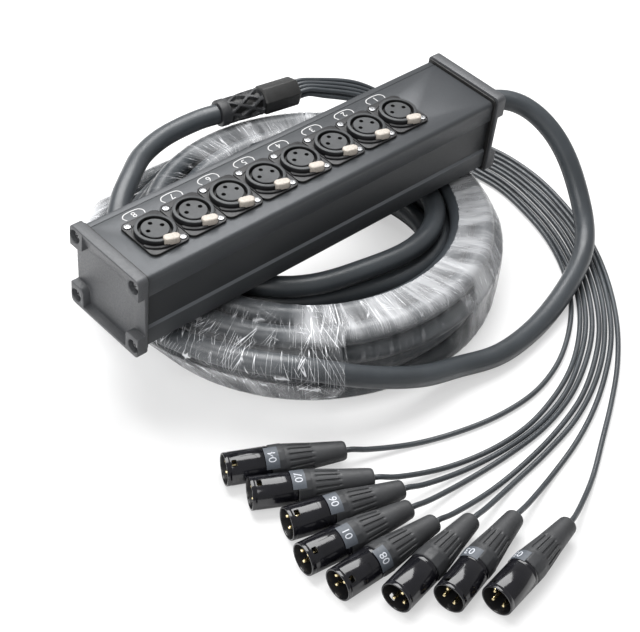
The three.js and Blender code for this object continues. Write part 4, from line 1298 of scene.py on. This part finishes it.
class SNAKE_OT_marks(bpy.types.Operator):
    """The channel digits and the arcs over them, printed on the deck"""
    bl_idname = "snake.marks"
    bl_label = "Deck marks"

    arch = [(-5.2, 17.6), (-6.2, 20), (-4.6, 22.2), (-1, 22.9), (3, 22.8), (6, 22.0),
            (7.4, 19.8), (6.9, 17.4)]
    digit_place = (0.9, 19.6)

    def execute(self, context):
        settings = context.scene.snake_marks
        for index in range(socket_count):
            channel = socket_count - index
            matrix = socket_matrix(index) @ Matrix.Translation((0, 0, 0.03 * MM))
            digit = spun(text_shape(str(channel), settings.digit_height / MM, 0.03), math.pi)
            moved(digit, (*self.digit_place, 0))
            shape = placed(joined([self.arc_shape(settings), digit]), matrix)
            add_piece(f"channel_mark_{channel}", shape, finishes("white_print"))
        return {'FINISHED'}

    def arc_shape(self, settings):
        """A thin flat ribbon along the arch."""
        line = smooth_route([(x, y, 0) for x, y in self.arch], 0.5)
        half = settings.line_width / MM / 2
        shape = bmesh.new()
        rows = []
        for before, point, after in zip([line[0], *line], line, [*line[1:], line[-1]]):
            side = (after - before).cross(Vector((0, 0, 1))).normalized() * half
            rows.append([shape.verts.new(point - side), shape.verts.new(point + side)])
        for (a, b), (c, d) in zip(rows, rows[1:]):
            shape.faces.new((a, c, d, b))
        return thickened(shape, 0.06)


class SNAKE_OT_film(bpy.types.Operator):
    """The clear stretch film round the coil"""
    bl_idname = "snake.film"
    bl_label = "Film"

    # Columns round the coil, rows up its wall and over its top, and steps round a strand's section
    columns = 540
    rows = 44
    hull_steps = 40
    # Headings, in degrees, between which it spans the run to the box or hides every strand
    tent_from, tent_to = 100, 238
    covered_from, covered_to = 50, 190
    # Elsewhere, the strands further in than this share of the coil's width stay bare
    bare_share = 0.667
    # The run to the box: its clearance under the film, the first of its points that can lie
    # against the coil, and how far out they can be
    run_slack = 1.2
    run_start = 30
    run_farthest = 155
    # Radius at which a heading is turned into a length for the creases
    arc_radius = 120

    def execute(self, context):
        settings = context.scene.snake_film
        radius = context.scene.snake_cords.trunk_diameter / 2 / MM
        run = trunk_lines(radius)[1]
        shape = bmesh.new()
        around = shape.loops.layers.uv.new("UVMap")
        haze = shape.verts.layers.float.new("haze")
        folds = shape.verts.layers.float.new("folds")
        grid = []
        for column in range(self.columns):
            degrees = 360 * column / self.columns
            arc = math.radians(degrees) * self.arc_radius
            line = self.section(math.radians(degrees), radius, settings.offset / MM, run)
            points = []
            along = 0
            for before, here in zip([line[0], *line], line):
                along += math.dist(before, here)
                point = self.film_point(shape, degrees, here, arc, along, settings)
                point[haze], point[folds] = self.looks(degrees, *here)
                points.append((point, arc / 100, along / 100))
            grid.append(points)
        full_turn = 2 * math.pi * self.arc_radius / 100
        for column, (here, after) in enumerate(zip(grid, [*grid[1:], grid[0]])):
            shift = full_turn if column == self.columns - 1 else 0
            for row in range(self.rows):
                corners = [here[row], after[row], after[row + 1], here[row + 1]]
                face = shape.faces.new([corner[0] for corner in corners])
                for loop, (_, u, v), shifted in zip(face.loops, corners, (0, shift, shift, 0)):
                    loop[around].uv = (u + shifted, v)
        placed(shape, Matrix.Translation(from_box((0, 0, 0))))
        add_piece("stretch_film", shape, finishes("stretch_film"), sharp_angle=80)
        return {'FINISHED'}

    def looks(self, degrees, reach, height):
        """Haze and crease strength: pale skirt and top, clearer wall and span in front.

        The zones come and go between headings and heights that show in the photograph."""
        tent = ramp(degrees, self.tent_to, self.tent_to - 2) * ramp(degrees, 95, 115)
        front = ramp(degrees, 296, 272) * (degrees > self.tent_to - 2)
        left = ramp(degrees, 228, 218) * tent
        right = ramp(degrees, 270, 290) + (degrees < 60)
        back = ramp(degrees, 50, 65) * ramp(degrees, 150, 130)
        top = ramp(height, 46, 51) * ramp(reach, 118, 112)
        skirt = ramp(height, 36, 30) * (1 - 0.5 * ramp(degrees, 212, 226))
        wall = 1 - top
        haze = 0.3 + 0.1 * top - 0.22 * front * wall
        haze += tent * (0.26 * skirt - 0.24 * (1 - skirt) * wall) - 0.34 * left * top
        haze += 0.16 * right * wall - 0.14 * back * top
        folds = 0.8 + tent * (0.35 - 0.3 * skirt) - 0.2 * top - 0.45 * front * wall
        return haze, folds - 0.25 * right - 0.35 * left * top

    def film_point(self, shape, degrees, place, arc, along, settings):
        """A corner of the film, moved by its creases."""
        lift = settings.wrinkle / MM * noise.noise(Vector((arc / 3, along / 28, 0)))
        heading = math.radians(degrees)
        reach, height = place
        return shape.verts.new((
            coil_centre[0] + (reach + lift) * math.cos(heading),
            coil_centre[1] + (reach + lift) * math.sin(heading),
            min(max(height + lift / 2, 0.05), coil_top + 0.2)))

    def section(self, heading, radius, offset, run):
        """The film's line at a heading: up the outer wall and over the top, in even steps."""
        centres = []
        covered = math.radians(self.covered_from) < heading < math.radians(self.covered_to)
        turn = (coil_reversal_heading - heading) / (2 * math.pi) % 1
        while turn <= coil_turn_count():
            if covered or coil_inward(turn) < self.bare_share:
                point = coil_point(turn, radius)
                centres.append((from_coil(point).length, point.z, radius + offset))
            turn += 1
        for reach, height in self.run_beside(heading, run):
            centres.append((reach, height, radius + offset + self.run_slack))
        points = []
        for reach, height, size in centres:
            for step in range(self.hull_steps):
                angle = 2 * math.pi * step / self.hull_steps
                points.append((
                    reach + size * math.cos(angle), max(0, height + size * math.sin(angle))))
        inner = min(reach for reach, _, _ in centres)
        return self.resampled(self.outer_chain(points, inner))

    def run_beside(self, heading, run):
        """Where the run to the box lies against the coil's wall at a heading, if it does."""
        if not math.radians(self.tent_from) < heading < math.radians(self.tent_to):
            return []
        direction = Vector((math.cos(heading), math.sin(heading)))
        for a, b in zip(run[self.run_start:], run[self.run_start + 1:]):
            here, after = from_coil(a), from_coil(b)
            crosses = here.cross(direction) * after.cross(direction) <= 0
            if crosses and here.dot(direction) > 0 and here.length < self.run_farthest:
                return [(here.length, a.z)]
        return []

    def outer_chain(self, points, inner):
        """The hull of the section from the floor outside, over the top, to the inner crown."""
        ordered = sorted({(round(x, 3), round(z, 3)) for x, z in points})
        hull = self.half_hull(ordered) + self.half_hull(ordered[::-1])
        low = min(z for _, z in hull)
        start = max(range(len(hull)), key=lambda i: (-hull[i][1] + low > -0.01, hull[i][0]))
        chain = []
        for x, z in hull[start:] + hull[:start]:
            if x < inner - 3 and chain:
                break
            chain.append((x, z))
        return chain

    def half_hull(self, ordered):
        """One side of the hull of ordered points, without its last point."""
        chain = []
        for x, z in ordered:
            while len(chain) > 1:
                (ax, az), (bx, bz) = chain[-2:]
                if (bx - ax) * (z - az) - (bz - az) * (x - ax) > 0:
                    break
                chain.pop()
            chain.append((x, z))
        return chain[:-1]

    def resampled(self, chain):
        """The same line in rows of equal length."""
        lengths = [0]
        for a, b in zip(chain, chain[1:]):
            lengths.append(lengths[-1] + math.dist(a, b))
        line = []
        segment = 0
        for row in range(self.rows + 1):
            wanted = lengths[-1] * row / self.rows
            while segment + 2 < len(lengths) and lengths[segment + 1] < wanted:
                segment += 1
            span = max(lengths[segment + 1] - lengths[segment], 1e-6)
            share = (wanted - lengths[segment]) / span
            (ax, az), (bx, bz) = chain[segment], chain[segment + 1]
            line.append((ax + (bx - ax) * share, az + (bz - az) * share))
        return line


class SNAKE_PT_panel(bpy.types.Panel):
    """Lists the snake's pieces"""
    bl_idname = "SNAKE_PT_panel"
    bl_label = "Stage box snake"
    bl_space_type = 'VIEW_3D'
    bl_region_type = 'UI'
    bl_category = "Snake"

    def draw(self, context):
        for operator in operators:
            self.layout.operator(operator.bl_idname)
        for name in settings_groups:
            group = getattr(context.scene, name)
            box = self.layout.box()
            for prop in group.__annotations__:
                box.prop(group, prop)


settings_groups = {
    "snake_cords": CordSettings,
    "snake_film": FilmSettings,
    "snake_box": BoxSettings,
    "snake_sockets": SocketSettings,
    "snake_marks": MarkSettings,
    "snake_plugs": PlugSettings,
    "snake_stage": StageSettings,
}
operators = [
    SNAKE_OT_stage, SNAKE_OT_multicore, SNAKE_OT_plugs, SNAKE_OT_film, SNAKE_OT_case,
    SNAKE_OT_sockets, SNAKE_OT_marks,
]


def register():
    for group in settings_groups.values():
        bpy.utils.register_class(group)
    for name, group in settings_groups.items():
        setattr(bpy.types.Scene, name, PointerProperty(type=group))
    for operator in operators:
        bpy.utils.register_class(operator)
    bpy.utils.register_class(SNAKE_PT_panel)


def unregister():
    bpy.utils.unregister_class(SNAKE_PT_panel)
    for operator in reversed(operators):
        bpy.utils.unregister_class(operator)
    for name in settings_groups:
        delattr(bpy.types.Scene, name)
    for group in reversed(list(settings_groups.values())):
        bpy.utils.unregister_class(group)


def main():
    register()
    bpy.ops.snake.stage()
    bpy.ops.snake.multicore()
    bpy.ops.snake.plugs()
    bpy.ops.snake.film()
    bpy.ops.snake.case()
    bpy.ops.snake.sockets()
    bpy.ops.snake.marks()


if __name__ == "__main__":
    main()
